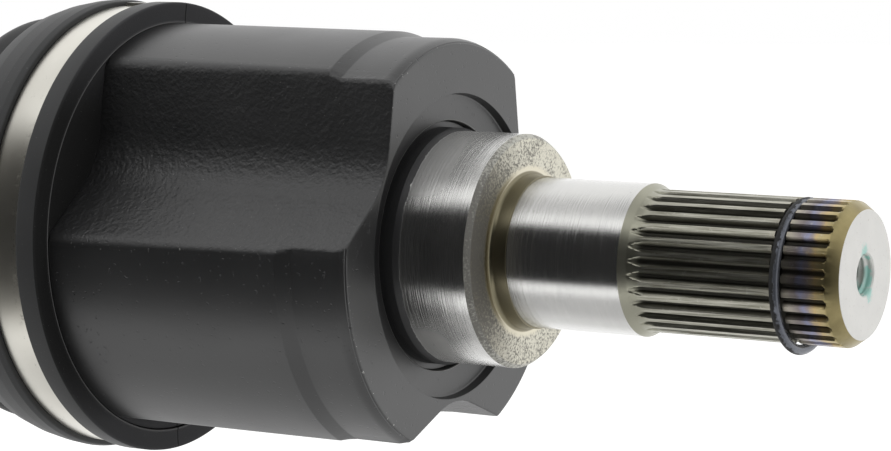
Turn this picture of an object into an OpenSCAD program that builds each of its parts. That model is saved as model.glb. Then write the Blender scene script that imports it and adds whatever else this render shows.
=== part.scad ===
// Front-wheel half shaft: a tripod plunging joint at the gearbox end, a bar,
// and a six-ball fixed joint at the wheel end. The shaft lies along X. The
// origin is the middle of the polished gearbox seat, and +X points out of the
// gearbox end. One track of the tripod housing stands straight up.

/* [Gearbox stub] */
// Radius of the polished gearbox seat
seat_r = 23.6; // [21:0.1:24]
// Length of the polished gearbox seat
seat_len = 15; // [10:0.5:22]
// Radius of the seal journal
journal_r = 15.1; // [14.6:0.1:18]
// Length from the seat's shoulder to the end of the journal
journal_len = 28.1; // [20:0.5:40]
// Outer radius of the gearbox spline
stub_spline_r = 14; // [12.6:0.1:14.4]
// Length of the gearbox spline, with its end chamfer
stub_spline_len = 42.6; // [34:0.5:55]
// Number of teeth on the gearbox spline
stub_teeth = 30; // [24:1:36]
// Radial depth of the spline teeth
tooth_depth = 1.05; // [0.6:0.05:1.3]
// Distance of the ring groove from the stub's end face
ring_groove_from_end = 12.4; // [9:0.1:16]
// Wire radius of the stub's snap ring
ring_wire_r = 1; // [0.7:0.05:1.2]
// Radius of the drilled and tapped hole in the stub's end
end_hole_r = 3.4; // [2.5:0.05:5]
// Depth of the hole in the stub's end
end_hole_len = 22; // [14:1:30]

/* [Tripod housing] */
// Length of the housing from its end face to its open mouth
housing_len = 89; // [86:0.5:96]
// Radius of the forged lobes beside the boot
lobe_r = 43.9; // [41:0.1:48]
// How much the lobes taper towards the end face
lobe_draft = 0.45; // [0:0.05:0.8]
// How far the turned band beside the end face lies inside the lobes
band_step = 1.55; // [0.9:0.05:2.5]
// Width of the turned band
band_w = 12.4; // [8:0.2:20]
// Depth of each valley between the lobes
valley_depth = 11.8; // [10.5:0.1:12.3]
// Half the width of each valley where its sides start to round over
valley_half_w = 18.3; // [17.5:0.1:18.8]
// Radius of the groove that runs along each valley
valley_groove_r = 17; // [14:0.5:20]
// Rounding of the lobes' edges
lobe_edge_r = 4; // [2:0.5:5]
// Width of the land between the end face's recess and the valleys
recess_land = 0.85; // [0.4:0.05:2]
// Depth of the recess beside the stub
recess_depth = 3.5; // [2:0.1:5]
// Thickness of metal between the valleys and the bore
bore_wall = 6.1; // [5.5:0.1:7.2]
// Thickness of metal over each roller track
track_wall = 6.7; // [5.5:0.1:7.5]
// Thickness of metal between the cavity and the recess
floor_t = 6.5; // [5:0.1:10]

/* [Tripod] */
// Room between each roller's outer face and the top of its track
track_room = 5.7; // [5:0.1:6.2]
// Outer radius of each roller
roller_r = 17; // [16:0.1:17.4]
// Width of each roller
roller_w = 12; // [10:0.2:13]
// Room between a roller and each side of its track
track_gap = 0.85; // [0.7:0.05:1]
// Radius of each trunnion
trunnion_r = 9.5; // [8.5:0.1:10]
// Radius of each needle
needle_r = 1.48; // [1.2:0.02:1.6]
// Number of needles round each trunnion
needle_count = 22; // [16:1:22]
// Room between the spider's hub and each roller's inner face
hub_gap = 1.9; // [1:0.1:3]
// Length of the spider's hub
hub_len = 24; // [20:1:26]
// How far the tripod can plunge each way from the middle
plunge = 18; // [10:1:18]
// Largest angle that the tripod joint bends to
tripod_angle = 15; // [8:1:15]

/* [Bar] */
// Radius of the bar's splined ends
bar_spline_r = 12; // [11.6:0.1:12.4]
// Number of teeth on the bar's ends
bar_teeth = 26; // [20:1:30]
// Radius of the bar beside each joint
waist_r = 11.4; // [10.5:0.1:11.6]
// Radius of the bar under each boot's small end
boot_seat_r = 12.5; // [11.8:0.1:13]
// Radius of the middle of the bar
bar_r = 14; // [13:0.1:16]
// Distance between the two joints' centres
joint_span = 388; // [360:1:600]

/* [Ball joint] */
// Radius of each ball
ball_r = 8.5; // [7.5:0.1:8.7]
// Distance from the axis to each ball's centre
ball_pitch_r = 27.5; // [27:0.1:28]
// Number of balls
ball_count = 6; // [4:1:6]
// Room round each ball in its tracks
ball_gap = 0.85; // [0.8:0.05:0.95]
// Radius of the inner race's ball-shaped outside
race_r = 24.6; // [24:0.1:25]
// Length of the inner race
race_len = 24; // [22:1:26]
// Thickness of the cage
cage_t = 4.7; // [4:0.1:5]
// Length of the cage
cage_len = 26; // [24:1:28]
// Outer radius of the bell
bell_r = 42; // [41:0.1:45]
// Length of the bell from its mouth to the balls' plane
bell_mouth = 17; // [16:0.5:18]
// Length of the bell from the balls' plane to the wheel hub's shoulder
bell_back = 41; // [39:0.5:50]

/* [Wheel stub] */
// Radius of the shoulder that bears on the wheel hub
shoulder_r = 29; // [26:0.5:32]
// Outer radius of the wheel spline
wheel_spline_r = 14; // [13:0.1:15]
// Length of the wheel spline
wheel_spline_len = 42; // [30:1:55]
// Number of teeth on the wheel spline
wheel_teeth = 28; // [22:1:34]
// Outer radius of the thread for the hub nut
thread_r = 11.9; // [10:0.1:12]
// Length of the thread for the hub nut
thread_len = 24; // [18:1:30]

/* [Boots and clamps] */
// Thickness of the boots' walls
boot_t = 2.2; // [1.6:0.1:2.6]
// Height of the rims above the seat of the gearbox boot's clamp
rim_h = 3.2; // [2:0.1:4.5]
// Distance from the housing's mouth to the gearbox boot's front rim
rim_from_mouth = 18.5; // [17:0.5:22]
// Width of the gearbox boot's front rim
rim_w = 5; // [3:0.5:6]
// Thickness of the clamp bands
band_t = 0.8; // [0.6:0.1:1]
// Width of the large clamp bands
clamp_w = 7.6; // [6:0.2:8]
// Width of the small clamp bands
small_clamp_w = 6; // [5:0.2:8]
// Length of the gearbox boot's bellows
tripod_bellows_len = 72; // [64:1:90]
// Number of folds in the gearbox boot
tripod_folds = 5; // [4:1:6]
// Length of the wheel boot's bellows
ball_bellows_len = 62; // [56:1:80]
// Number of folds in the wheel boot
ball_folds = 5; // [4:1:6]

/* [Hidden] */

// Clearances: seats within one body, running fits, and soft pieces
seat_gap = 0.1;
running_gap = 0.05;
soft_gap = 0.3;
track_end_gap = 0.4;
round_fn = 96;
lobes = [90, 210, 330];

// Radii of the housing and the tripod, each from its neighbour
band_r = lobe_r - band_step;
valley_r = lobe_r - valley_depth;
recess_r = valley_r - recess_land;
bore_r = valley_r - bore_wall;
track_top_r = lobe_r - track_wall;
roller_pitch_r = track_top_r - track_room - roller_w / 2;
hub_r = roller_pitch_r - roller_w / 2 - hub_gap;

// How far a lower roller moves along the shaft as the tripod joint bends
tilt_shift = roller_pitch_r * cos(30) * sin(tripod_angle);

// Stations along the axis, from the gearbox end
journal_step_len = 2.3;
seat_root_len = 1.6;
clamp_side_gap = 0.2;
back_rim_w = 6.4;
fold_from_rim = 2.8;
x_shoulder = seat_len / 2;
x_journal = x_shoulder + journal_len;
x_end = x_journal + journal_step_len + stub_spline_len;
x_spline = x_end - stub_spline_len;
x_seat_root = -seat_len / 2;
x_face = x_seat_root - seat_root_len;
x_recess = x_face - recess_depth;
x_cavity = x_recess - floor_t;
x_mouth = x_face - housing_len;
x_band = x_face - band_w;
x_rim = x_mouth + rim_from_mouth;
x_clamp = x_rim - rim_w - clamp_w / 2 - clamp_side_gap;
x_rim_back = x_clamp - clamp_w / 2 - clamp_side_gap;
x_bellows = x_rim_back - back_rim_w - fold_from_rim;
x_tripod = x_cavity - track_end_gap - roller_r - tilt_shift - plunge;
x_ball = x_tripod - joint_span;

// Stub details. The snap ring is sprung open: it hangs on its groove's floor.
collar_h = 1.6;
end_chamfer_h = 1.67;
end_chamfer_len = 2.5;
ring_groove_depth = 1.95;
ring_side_gap = 0.15;
ring_slack = 1.05;
hole_edge = 0.6;
spline_run_out = 3;
stub_end_r = stub_spline_r - end_chamfer_h;
ring_groove_r = stub_spline_r - ring_groove_depth;
ring_mean_r = ring_groove_r + ring_slack + ring_wire_r;
ring_drop = ring_slack - seat_gap / 2;
collar_r = seat_r + collar_h;
x_ring = x_end - ring_groove_from_end;

// Boot ends
adapter_step = 0.1;
adapter_skin = 0.4;
adapter_mouth_gap = 1.5;
adapter_rim_gap = 2;
boot_floor_t = 1.4;
adapter_r = lobe_r - adapter_step;
adapter_seat_r = adapter_r - adapter_skin;
boot_floor_r = adapter_r + boot_floor_t;
rim_r = boot_floor_r + rim_h;
clamp_in_r = boot_floor_r + seat_gap / 2;
small_cuff_r = boot_seat_r + soft_gap + boot_t;
cuff_len = 14;
x_small_in = x_bellows - tripod_bellows_len;
bell_seat_step = 2;
fold_from_bell = 4;
bell_seat_r = bell_r - bell_seat_step;
x_bell_mouth = x_ball + bell_mouth;
x_out_bellows = x_bell_mouth + fold_from_bell;
x_small_out = x_out_bellows + ball_bellows_len;

// A shape turned about the shaft's axis, from points of [radius, x]
module turned(points) {
    rotate([0, 90, 0])
        rotate_extrude($fn = round_fn)
            polygon(points);
}

// A flat outline of [y, z] run along the axis from x0 to x1
module along_x(x0, x1) {
    translate([x0, 0, 0])
        rotate([90, 0, 90])
            linear_extrude(x1 - x0)
                children();
}

// A plain tube or rod about the axis
module tube_x(r_out, r_in, x0, x1) {
    turned([[r_in, x0], [r_out, x0], [r_out, x1], [r_in, x1]]);
}

// A ring of round wire about the axis, with an opening centred on gap_at
module wire_ring(mean_r, wire_r, x, opening, gap_at) {
    translate([x, 0, 0])
        rotate([90, 0, 90])
            rotate([0, 0, gap_at + opening / 2])
                rotate_extrude(angle = 360 - opening, $fn = round_fn)
                    translate([mean_r, 0])
                        circle(wire_r, $fn = 24);
}

// The grooves between spline teeth, running out at the shaft's side
module spline_grooves(r, depth, teeth, x0, x1, run_out) {
    pitch = 2 * PI * r / teeth;
    top = pitch * 0.58;
    root = pitch * 0.22;
    for (i = [0:teeth - 1])
        rotate([i * 360 / teeth, 0, 0])
            intersection() {
                along_x(x0 - 1, x1 + 1)
                    polygon([[-root / 2, r - depth], [root / 2, r - depth],
                        [top / 2, r], [top, r + depth], [-top, r + depth],
                        [-top / 2, r]]);
                rotate([90, 0, 0])
                    linear_extrude(2 * pitch, center = true)
                        polygon([[x0 + run_out, r - depth - 1],
                            [x1 + 2, r - depth - 1], [x1 + 2, r + depth + 1],
                            [x0 - run_out * 0.6, r + depth + 1]]);
            }
}

// Half width of the groove between the bar's teeth, at a radius
bar_pitch = 2 * PI * bar_spline_r / bar_teeth;
bar_root_r = bar_spline_r - tooth_depth;
function groove_half(r) = bar_pitch * 0.12 + (r - bar_root_r) * 0.5;

// One groove between the bar's teeth, or with a gap the tooth that fits in it
module bar_groove(gap) {
    low = bar_root_r + gap;
    high = bar_spline_r + 0.5;
    polygon([[-groove_half(low) + gap, low], [groove_half(low) - gap, low],
        [groove_half(high) - gap, high], [-groove_half(high) + gap, high]]);
}

// Outline of the splined hole that takes either end of the bar
module splined_hole() {
    gap = seat_gap / 2;
    difference() {
        circle(bar_spline_r + gap, $fn = round_fn);
        for (i = [0:bar_teeth - 1])
            rotate(i * 360 / bar_teeth)
                bar_groove(gap);
    }
}

// One side of a valley, from the middle of its floor out past the lobe.
// Each point is [distance from the axis, distance across].
flank_a = 21.8;
edge_turn = 38;
edge_steps = 4;
edge_step_len = lobe_edge_r * edge_turn / edge_steps * PI / 180;
function on_floor(t) = [valley_r + valley_groove_r * (1 - cos(t)),
    valley_groove_r * sin(t)];
function along(p, a, d) = [p[0] + d * sin(a), p[1] + d * cos(a)];
function edge_arc(p, n) = n > edge_steps ? [] :
    let (q = along(p, flank_a - n * edge_turn / edge_steps, edge_step_len))
    concat([q], edge_arc(q, n + 1));
function flank_start() = on_floor(flank_a);
function flank_len() = (valley_half_w - flank_start()[1]) / cos(flank_a);
function flank_end() = along(flank_start(), flank_a, flank_len());
function valley_side() =
    let (edge = edge_arc(flank_end(), 0))
    concat([for (t = [0:flank_a / 4:flank_a]) on_floor(t)],
        [flank_end()], edge, [[lobe_r * 1.5, edge[edge_steps][1] + 3]]);
function mirrored(side) = [for (i = [len(side) - 1:-1:1]) [side[i][0], -side[i][1]]];

// The three-lobed outline of the housing, let out by grow
module lobed_outline(r, grow) {
    side = valley_side();
    difference() {
        circle(r, $fn = round_fn * 2);
        for (a = lobes)
            rotate(a + 60)
                translate([grow, 0])
                    polygon(concat(side, mirrored(side)));
    }
}

// The track outline inside the housing: a round bore and three slots
track_half = roller_r + track_gap;
module track_outline() {
    circle(bore_r, $fn = round_fn);
    for (a = lobes)
        rotate(a)
            intersection() {
                circle(track_top_r, $fn = round_fn);
                translate([0, -track_half])
                    square([track_top_r + 1, 2 * track_half]);
            }
}

// The forged and turned outside of the housing, before its lobes are cut
band_chamfer_len = 3;
face_edge_h = 0.9;
face_edge_len = 2.4;
boot_step = 1;
recess_wall_len = 2;
recess_wall_draft = 0.25;
root_groove_w = 0.8;
root_groove_depth = 1;
module housing_blank() {
    groove_r = collar_r + root_groove_w;
    turned([[0, x_mouth], [adapter_seat_r - boot_step / 2, x_mouth],
        [adapter_seat_r, x_mouth + boot_step / 2],
        [adapter_seat_r, x_rim + seat_gap], [lobe_r, x_rim + seat_gap + boot_step],
        [lobe_r - lobe_draft, x_band - band_chamfer_len],
        [band_r, x_band], [band_r, x_face - face_edge_len],
        [band_r - face_edge_h, x_face],
        [recess_r, x_face], [recess_r - recess_wall_draft, x_face - recess_wall_len],
        [groove_r, x_recess], [groove_r, x_recess - root_groove_depth],
        [0, x_recess - root_groove_depth]]);
}

// The stub, turned in one piece with the housing
collar_taper_len = 1.8;
paint_step = 0.1;
seat_edge = 0.9;
journal_fillet = 1.5;
spline_lip_h = 0.35;
spline_lip_len = 1.2;
module stub_blank() {
    turned([[0, x_recess - floor_t / 2], [collar_r, x_recess - floor_t / 2],
        [collar_r, x_seat_root - collar_taper_len],
        [seat_r + paint_step, x_seat_root],
        [seat_r, x_seat_root], [seat_r, x_shoulder - seat_edge],
        [seat_r - seat_edge, x_shoulder], [journal_r + journal_fillet, x_shoulder],
        [journal_r + journal_fillet * 0.3, x_shoulder + journal_fillet * 0.3],
        [journal_r, x_shoulder + journal_fillet],
        [journal_r, x_journal], [stub_spline_r + spline_lip_h, x_spline],
        [stub_spline_r, x_spline + spline_lip_len],
        [stub_spline_r, x_end - end_chamfer_len], [stub_end_r, x_end], [0, x_end]]);
}

// The flare that lets the bar swing at the housing's mouth
flare_len = 9;
flare_h = 4;
module mouth_flare() {
    slope = flare_h / flare_len;
    turned([[0, x_mouth - 1], [bore_r + flare_h + slope, x_mouth - 1],
        [bore_r - slope, x_mouth + flare_len + 1], [0, x_mouth + flare_len + 1]]);
}

// A cone that takes the edge off a hole which opens at x
module countersink(x, r, edge) {
    turned([[0, x - edge - r], [r + edge, x], [r + edge, x + 1], [0, x + 1]]);
}

module inboard_housing() {
    color([0.12, 0.12, 0.125])
        difference() {
            union() {
                intersection() {
                    along_x(x_mouth - 1, x_face + 1)
                        lobed_outline(lobe_r + 2, 0);
                    housing_blank();
                }
                stub_blank();
            }
            along_x(x_mouth - 2, x_cavity)
                track_outline();
            mouth_flare();
            spline_grooves(stub_spline_r, tooth_depth, stub_teeth,
                x_spline + 1, x_end, spline_run_out);
            tube_x(stub_spline_r + 2, ring_groove_r,
                x_ring - ring_wire_r - ring_side_gap,
                x_ring + ring_wire_r + ring_side_gap);
            translate([x_end - end_hole_len, 0, 0])
                rotate([0, 90, 0])
                    cylinder(h = end_hole_len + 1, r = end_hole_r, $fn = 64);
            countersink(x_end, end_hole_r, hole_edge);
        }
}

// The ring rests on the top of its groove's floor and hangs below the spline
ring_opening = 26;
ring_turn = 20;
module stub_snap_ring() {
    color([0.1, 0.1, 0.1])
        translate([0, 0, -ring_drop])
            wire_ring(ring_mean_r, ring_wire_r, x_ring, ring_opening, ring_turn);
}

// Fills the valleys, so that a round boot seals on a three-lobed housing
module boot_adapter() {
    color([0.09, 0.09, 0.09])
        difference() {
            tube_x(adapter_r, valley_r - 1, x_mouth + adapter_mouth_gap,
                x_rim - adapter_rim_gap);
            along_x(x_mouth, x_rim)
                lobed_outline(adapter_seat_r + seat_gap, seat_gap);
        }
}

// A wavy bellows wall as [radius, x], from x0 to x1, with the given folds.
// Crests fall from r0 to r1 and valleys from v0 to v1.
fold_steps = 8;
function fold_r(s, folds, r0, r1, v0, v1) =
    let (crest = r0 + (r1 - r0) * s, dip = v0 + (v1 - v0) * s)
    (crest + dip) / 2 + (crest - dip) / 2 * sin(360 * folds * s - 90);
function fold_point(s, t, x0, x1, folds, r0, r1, v0, v1) =
    let (d = 0.002, rs = fold_r(s, folds, r0, r1, v0, v1),
        slope = (fold_r(s + d, folds, r0, r1, v0, v1) -
            fold_r(s - d, folds, r0, r1, v0, v1)) / (2 * d * (x1 - x0)),
        n = sqrt(1 + slope * slope))
    [rs - t / n, x0 + (x1 - x0) * s + t * slope / n];
function bellows(t, x0, x1, folds, r0, r1, v0, v1) =
    [for (i = [0:folds * fold_steps])
        fold_point(i / (folds * fold_steps), t, x0, x1, folds, r0, r1, v0, v1)];
function reversed(list) = [for (i = [len(list) - 1:-1:0]) list[i]];

// The boot's rims, and its small end with a seat for its clamp
rim_edge = 0.6;
back_rim_bulge = 0.4;
first_crest_h = 1.6;
last_crest_h = 6;
seat_edge_len = 0.2;
seat_depth = 0.6;
seat_from_folds = 3;
function small_seat_middle() = seat_from_folds + 2 * seat_edge_len + small_clamp_w / 2;
function small_end(x, way) = [[small_cuff_r, x + way * seat_from_folds],
    [small_cuff_r - seat_depth, x + way * (seat_from_folds + seat_edge_len)],
    [small_cuff_r - seat_depth,
        x + way * (seat_from_folds + 3 * seat_edge_len + small_clamp_w)],
    [small_cuff_r, x + way * (seat_from_folds + 4 * seat_edge_len + small_clamp_w)],
    [small_cuff_r, x + way * cuff_len],
    [boot_seat_r + soft_gap, x + way * cuff_len],
    [boot_seat_r + soft_gap, x + way]];

module inboard_boot() {
    crest_0 = boot_floor_r + first_crest_h;
    crest_1 = small_cuff_r + last_crest_h;
    dip_0 = lobe_r - 1;
    dip_1 = small_cuff_r;
    outside = bellows(0, x_bellows, x_small_in, tripod_folds,
        crest_0, crest_1, dip_0, dip_1);
    inside = bellows(boot_t, x_bellows, x_small_in, tripod_folds,
        crest_0, crest_1, dip_0, dip_1);
    color([0.16, 0.16, 0.165])
        turned(concat(
            [[adapter_r + seat_gap / 2, x_rim], [rim_r - rim_edge, x_rim],
                [rim_r, x_rim - rim_edge], [rim_r, x_rim - rim_w + rim_edge],
                [rim_r - rim_edge, x_rim - rim_w], [boot_floor_r, x_rim - rim_w],
                [boot_floor_r, x_rim_back], [rim_r, x_rim_back],
                [rim_r + back_rim_bulge, x_rim_back - back_rim_w * 0.25],
                [rim_r + back_rim_bulge / 2, x_rim_back - back_rim_w * 0.8],
                [rim_r - 2, x_rim_back - back_rim_w]],
            outside,
            small_end(x_small_in, -1),
            reversed([for (p = inside) if (p[1] > x_small_in && p[1] < x_mouth - 1) p]),
            [[adapter_r + seat_gap / 2, x_mouth - 0.6]]));
}

// A crimped clamp: a flat band, its overlapping end and the raised ear
ear_h = 5;
ear_w = 11;
ear_top_w = 7.4;
ear_foot = 2;
ear_inset = 0.6;
lap_angle = 62;
lap_inset = 0.8;
clamp_turn = -60;
module clamp(r_in, w, x, ear_at) {
    r_out = r_in + band_t;
    tube_x(r_out, r_in, x - w / 2, x + w / 2);
    rotate([ear_at, 0, 0]) {
        along_x(x - w / 2 + ear_inset, x + w / 2 - ear_inset)
            difference() {
                polygon([[-ear_w / 2, r_in + band_t / 2], [ear_w / 2, r_in + band_t / 2],
                    [ear_top_w / 2, r_out + ear_h], [-ear_top_w / 2, r_out + ear_h]]);
                polygon([[-ear_w / 2 + ear_foot, r_out], [ear_w / 2 - ear_foot, r_out],
                    [ear_top_w / 2 - band_t, r_out + ear_h - band_t],
                    [-ear_top_w / 2 + band_t, r_out + ear_h - band_t]]);
            }
        translate([x, 0, 0])
            rotate([90, 0, 90])
                rotate([0, 0, 90])
                    rotate_extrude(angle = lap_angle, $fn = round_fn)
                        translate([r_in + band_t / 2, -w / 2 + lap_inset])
                            square([band_t, w - 2 * lap_inset]);
    }
}

module inboard_large_clamp() {
    color([0.78, 0.77, 0.72])
        clamp(clamp_in_r, clamp_w, x_clamp, clamp_turn);
}

module inboard_small_clamp() {
    color([0.78, 0.77, 0.72])
        clamp(small_cuff_r - seat_depth + soft_gap, small_clamp_w,
            x_small_in - small_seat_middle(), clamp_turn);
}

// Places its children on one trunnion: +Z runs out along the trunnion
module on_trunnion(a) {
    translate([x_tripod, 0, 0])
        rotate([a - 90, 0, 0])
            children();
}

// The stack on each trunnion, outwards: roller, washer, clip, trunnion end
foot_gap = 0.5;
roller_end_gap = 0.15;
washer_t = 0.6;
washer_lap = 1.2;
clip_t = 0.9;
clip_lip = 1.1;
clip_opening = 40;
roller_end = roller_pitch_r + roller_w / 2;
z_washer = roller_end + roller_end_gap;
z_clip = z_washer + washer_t + seat_gap / 2;
trunnion_nose = 1;
trunnion_end = z_clip + clip_t + trunnion_nose;
clip_groove_depth = 0.8;
clip_groove_r = trunnion_r - clip_groove_depth;
roller_bore = trunnion_r + 2 * needle_r + 3 * running_gap;
trunnion_foot = roller_pitch_r - roller_w / 2 - foot_gap;
trunnion_edge = 0.4;
root_h = 1.5;

module spider() {
    color([0.55, 0.56, 0.58])
        difference() {
            union() {
                tube_x(hub_r, 0, x_tripod - hub_len / 2, x_tripod + hub_len / 2);
                for (a = lobes)
                    on_trunnion(a)
                        rotate_extrude($fn = 64)
                            polygon([[0, 2], [trunnion_r + root_h, 2],
                                [trunnion_r + root_h, trunnion_foot],
                                [trunnion_r, trunnion_foot + 0.1],
                                [trunnion_r, z_clip - seat_gap / 2],
                                [clip_groove_r, z_clip - seat_gap / 2],
                                [clip_groove_r, z_clip + clip_t + seat_gap / 2],
                                [trunnion_r, z_clip + clip_t + seat_gap / 2],
                                [trunnion_r, trunnion_end - trunnion_edge],
                                [trunnion_r - trunnion_edge, trunnion_end],
                                [0, trunnion_end]]);
            }
            along_x(x_tripod - hub_len, x_tripod + hub_len)
                splined_hole();
        }
}

// A barrel-shaped roller with a plain bore for its needles
module roller(a) {
    color([0.7, 0.71, 0.73])
        on_trunnion(a)
            translate([0, 0, roller_pitch_r])
                difference() {
                    intersection() {
                        sphere(roller_r, $fn = round_fn);
                        cylinder(h = roller_w, r = roller_r + 1, center = true,
                            $fn = round_fn);
                    }
                    cylinder(h = roller_w + 2, r = roller_bore, center = true,
                        $fn = 64);
                }
}

module roller_1() {
    roller(lobes[0]);
}

module roller_2() {
    roller(lobes[1]);
}

module roller_3() {
    roller(lobes[2]);
}

needle_inset = 0.6;
needle_len = roller_w - 2 * needle_inset;
module needle_set(a) {
    color([0.8, 0.81, 0.83])
        on_trunnion(a)
            for (i = [0:needle_count - 1])
                rotate([0, 0, i * 360 / needle_count])
                    translate([trunnion_r + needle_r + running_gap, 0,
                        roller_pitch_r - needle_len / 2])
                        cylinder(h = needle_len, r = needle_r, $fn = 24);
}

module needles_1() {
    needle_set(lobes[0]);
}

module needles_2() {
    needle_set(lobes[1]);
}

module needles_3() {
    needle_set(lobes[2]);
}

// Thin washers that keep the needles and rollers on the trunnions
module trunnion_washers() {
    color([0.6, 0.61, 0.63])
        for (a = lobes)
            on_trunnion(a)
                translate([0, 0, z_washer])
                    difference() {
                        cylinder(h = washer_t, r = roller_bore + washer_lap, $fn = 64);
                        translate([0, 0, -1])
                            cylinder(h = washer_t + 2, r = trunnion_r + running_gap,
                                $fn = 64);
                    }
}

// A flat spring clip in the plane z = 0, open on one side
module open_clip(r_in, r_out, t, opening) {
    rotate([0, 0, opening / 2])
        rotate_extrude(angle = 360 - opening, $fn = 64)
            translate([r_in, 0])
                square([r_out - r_in, t]);
}

// One clip in the groove at each trunnion's end
module trunnion_clips() {
    color([0.2, 0.2, 0.21])
        for (a = lobes)
            on_trunnion(a)
                translate([0, 0, z_clip])
                    open_clip(clip_groove_r + seat_gap / 2, trunnion_r + clip_lip,
                        clip_t, clip_opening);
}

// Grooves and rings that hold the spider on the bar
bar_clip_depth = 0.5;
bar_clip_r = bar_root_r - bar_clip_depth;
bar_clip_t = 1.6;
bar_clip_lip = 2;
bar_clip_opening = 50;
x_spider_clip = x_tripod + hub_len / 2 + seat_gap;
x_spider_stop = x_tripod - hub_len / 2 - seat_gap - bar_clip_t;
bar_nose = 2.4;
bar_tail = 1.8;
x_bar_end = x_spider_clip + bar_clip_t + bar_nose;
x_race_clip = x_ball - race_len / 2 - seat_gap - bar_clip_t;
x_bar_out = x_race_clip - bar_tail;

module bar_ring(x) {
    translate([x, 0, 0])
        rotate([90, 0, 90])
            open_clip(bar_clip_r + seat_gap / 2, bar_spline_r + bar_clip_lip,
                bar_clip_t, bar_clip_opening);
}

module spider_clip() {
    color([0.2, 0.2, 0.21])
        bar_ring(x_spider_clip);
}

module spider_stop_ring() {
    color([0.2, 0.2, 0.21])
        bar_ring(x_spider_stop);
}

module race_clip() {
    color([0.2, 0.2, 0.21])
        bar_ring(x_race_clip);
}

// The bar thins beside each joint, swells under each boot's small end, and is
// thickest in the middle
seat_past_cuff = 2;
spline_past_hub = 4;
spline_past_race = 3;
x_seat_in = x_small_in - cuff_len - seat_past_cuff;
x_seat_out = x_small_out + cuff_len + seat_past_cuff;
x_waist_in = x_tripod - hub_len / 2 - spline_past_hub;
x_waist_out = x_ball + race_len / 2 + spline_past_race;
bar_edge = 1.2;
waist_step = 2;
seat_step = 4;
module bar_shaft() {
    color([0.14, 0.14, 0.145])
        difference() {
            turned([[0, x_bar_out], [bar_spline_r - bar_edge, x_bar_out],
                [bar_spline_r, x_bar_out + bar_edge], [bar_spline_r, x_waist_out],
                [waist_r, x_waist_out + waist_step],
                [waist_r, x_small_out - 1 - waist_step],
                [boot_seat_r, x_small_out - 1],
                [boot_seat_r, x_seat_out], [bar_r, x_seat_out + seat_step],
                [bar_r, x_seat_in - seat_step], [boot_seat_r, x_seat_in],
                [boot_seat_r, x_small_in + 1], [waist_r, x_small_in + 1 + waist_step],
                [waist_r, x_waist_in - waist_step], [bar_spline_r, x_waist_in],
                [bar_spline_r, x_bar_end - bar_edge],
                [bar_spline_r - bar_edge, x_bar_end], [0, x_bar_end]]);
            bar_grooves(x_waist_in + 0.6, x_bar_end + 1);
            bar_grooves(x_bar_out - 1, x_waist_out - 0.6);
            for (x = [x_spider_clip, x_spider_stop, x_race_clip])
                tube_x(bar_spline_r + 1, bar_clip_r, x - seat_gap / 2,
                    x + bar_clip_t + seat_gap / 2);
        }
}

// The straight grooves between the teeth on one end of the bar
module bar_grooves(x0, x1) {
    along_x(x0, x1)
        for (i = [0:bar_teeth - 1])
            rotate(i * 360 / bar_teeth)
                bar_groove(0);
}

// The ball joint is built about its own centre, then moved to the bar's end
module at_ball_joint() {
    translate([x_ball, 0, 0])
        children();
}

// The arcs that the balls run in. Angles start at the bar's side of the
// axis, and 90 is square to the axis.
ball_angles = [for (i = [0:ball_count - 1]) 90 + i * 360 / ball_count];
module ball_tracks(a0, a1) {
    for (a = ball_angles)
        rotate([a - 90, 0, 0])
            rotate([90, 0, 0])
                rotate([0, 0, a0])
                    rotate_extrude(angle = a1 - a0, $fn = 48)
                        translate([ball_pitch_r, 0])
                            circle(ball_r + ball_gap, $fn = 24);
}

module inner_race() {
    color([0.6, 0.61, 0.63])
        at_ball_joint()
            difference() {
                intersection() {
                    sphere(race_r, $fn = round_fn);
                    tube_x(race_r + 1, 0, -race_len / 2, race_len / 2);
                }
                along_x(-race_len, race_len)
                    splined_hole();
                ball_tracks(40, 140);
            }
}

cage_in_r = race_r + soft_gap;
cage_out_r = cage_in_r + cage_t;
bell_in_r = cage_out_r + soft_gap;
window_half_w = ball_r + seat_gap / 2;
window_room = 1.6;
window_half_l = ball_r + window_room;
window_corner = 2;
module ball_cage() {
    color([0.5, 0.5, 0.5])
        at_ball_joint()
            difference() {
                intersection() {
                    sphere(cage_out_r, $fn = round_fn);
                    tube_x(cage_out_r + 1, 0, -cage_len / 2, cage_len / 2);
                }
                sphere(cage_in_r, $fn = round_fn);
                for (a = ball_angles)
                    rotate([a - 90, 0, 0])
                        translate([0, 0, cage_in_r / 2])
                            linear_extrude(cage_out_r)
                                window_outline();
            }
}

// A cage window with its corners cut off, long way round the cage
module window_outline() {
    w = window_half_w;
    l = window_half_l;
    c = window_corner;
    polygon([[-w, -l + c], [-w + c, -l], [w - c, -l], [w, -l + c],
        [w, l - c], [w - c, l], [-w + c, l], [-w, l - c]]);
}

module balls() {
    color([0.85, 0.86, 0.88])
        at_ball_joint()
            for (a = ball_angles)
                rotate([a - 90, 0, 0])
                    translate([0, 0, ball_pitch_r])
                        sphere(ball_r, $fn = 48);
}

// Wheel stub: journal, spline, then the thread for the hub nut
wheel_journal_h = 1.5;
wheel_journal_len = 7;
wheel_taper_len = 1.5;
thread_undercut_len = 1.5;
wheel_journal_r = wheel_spline_r + wheel_journal_h;
x_wheel_spline = -bell_back - wheel_journal_len - wheel_taper_len;
x_thread = x_wheel_spline - wheel_spline_len;
x_thread_end = x_thread - thread_undercut_len - thread_len;

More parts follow.
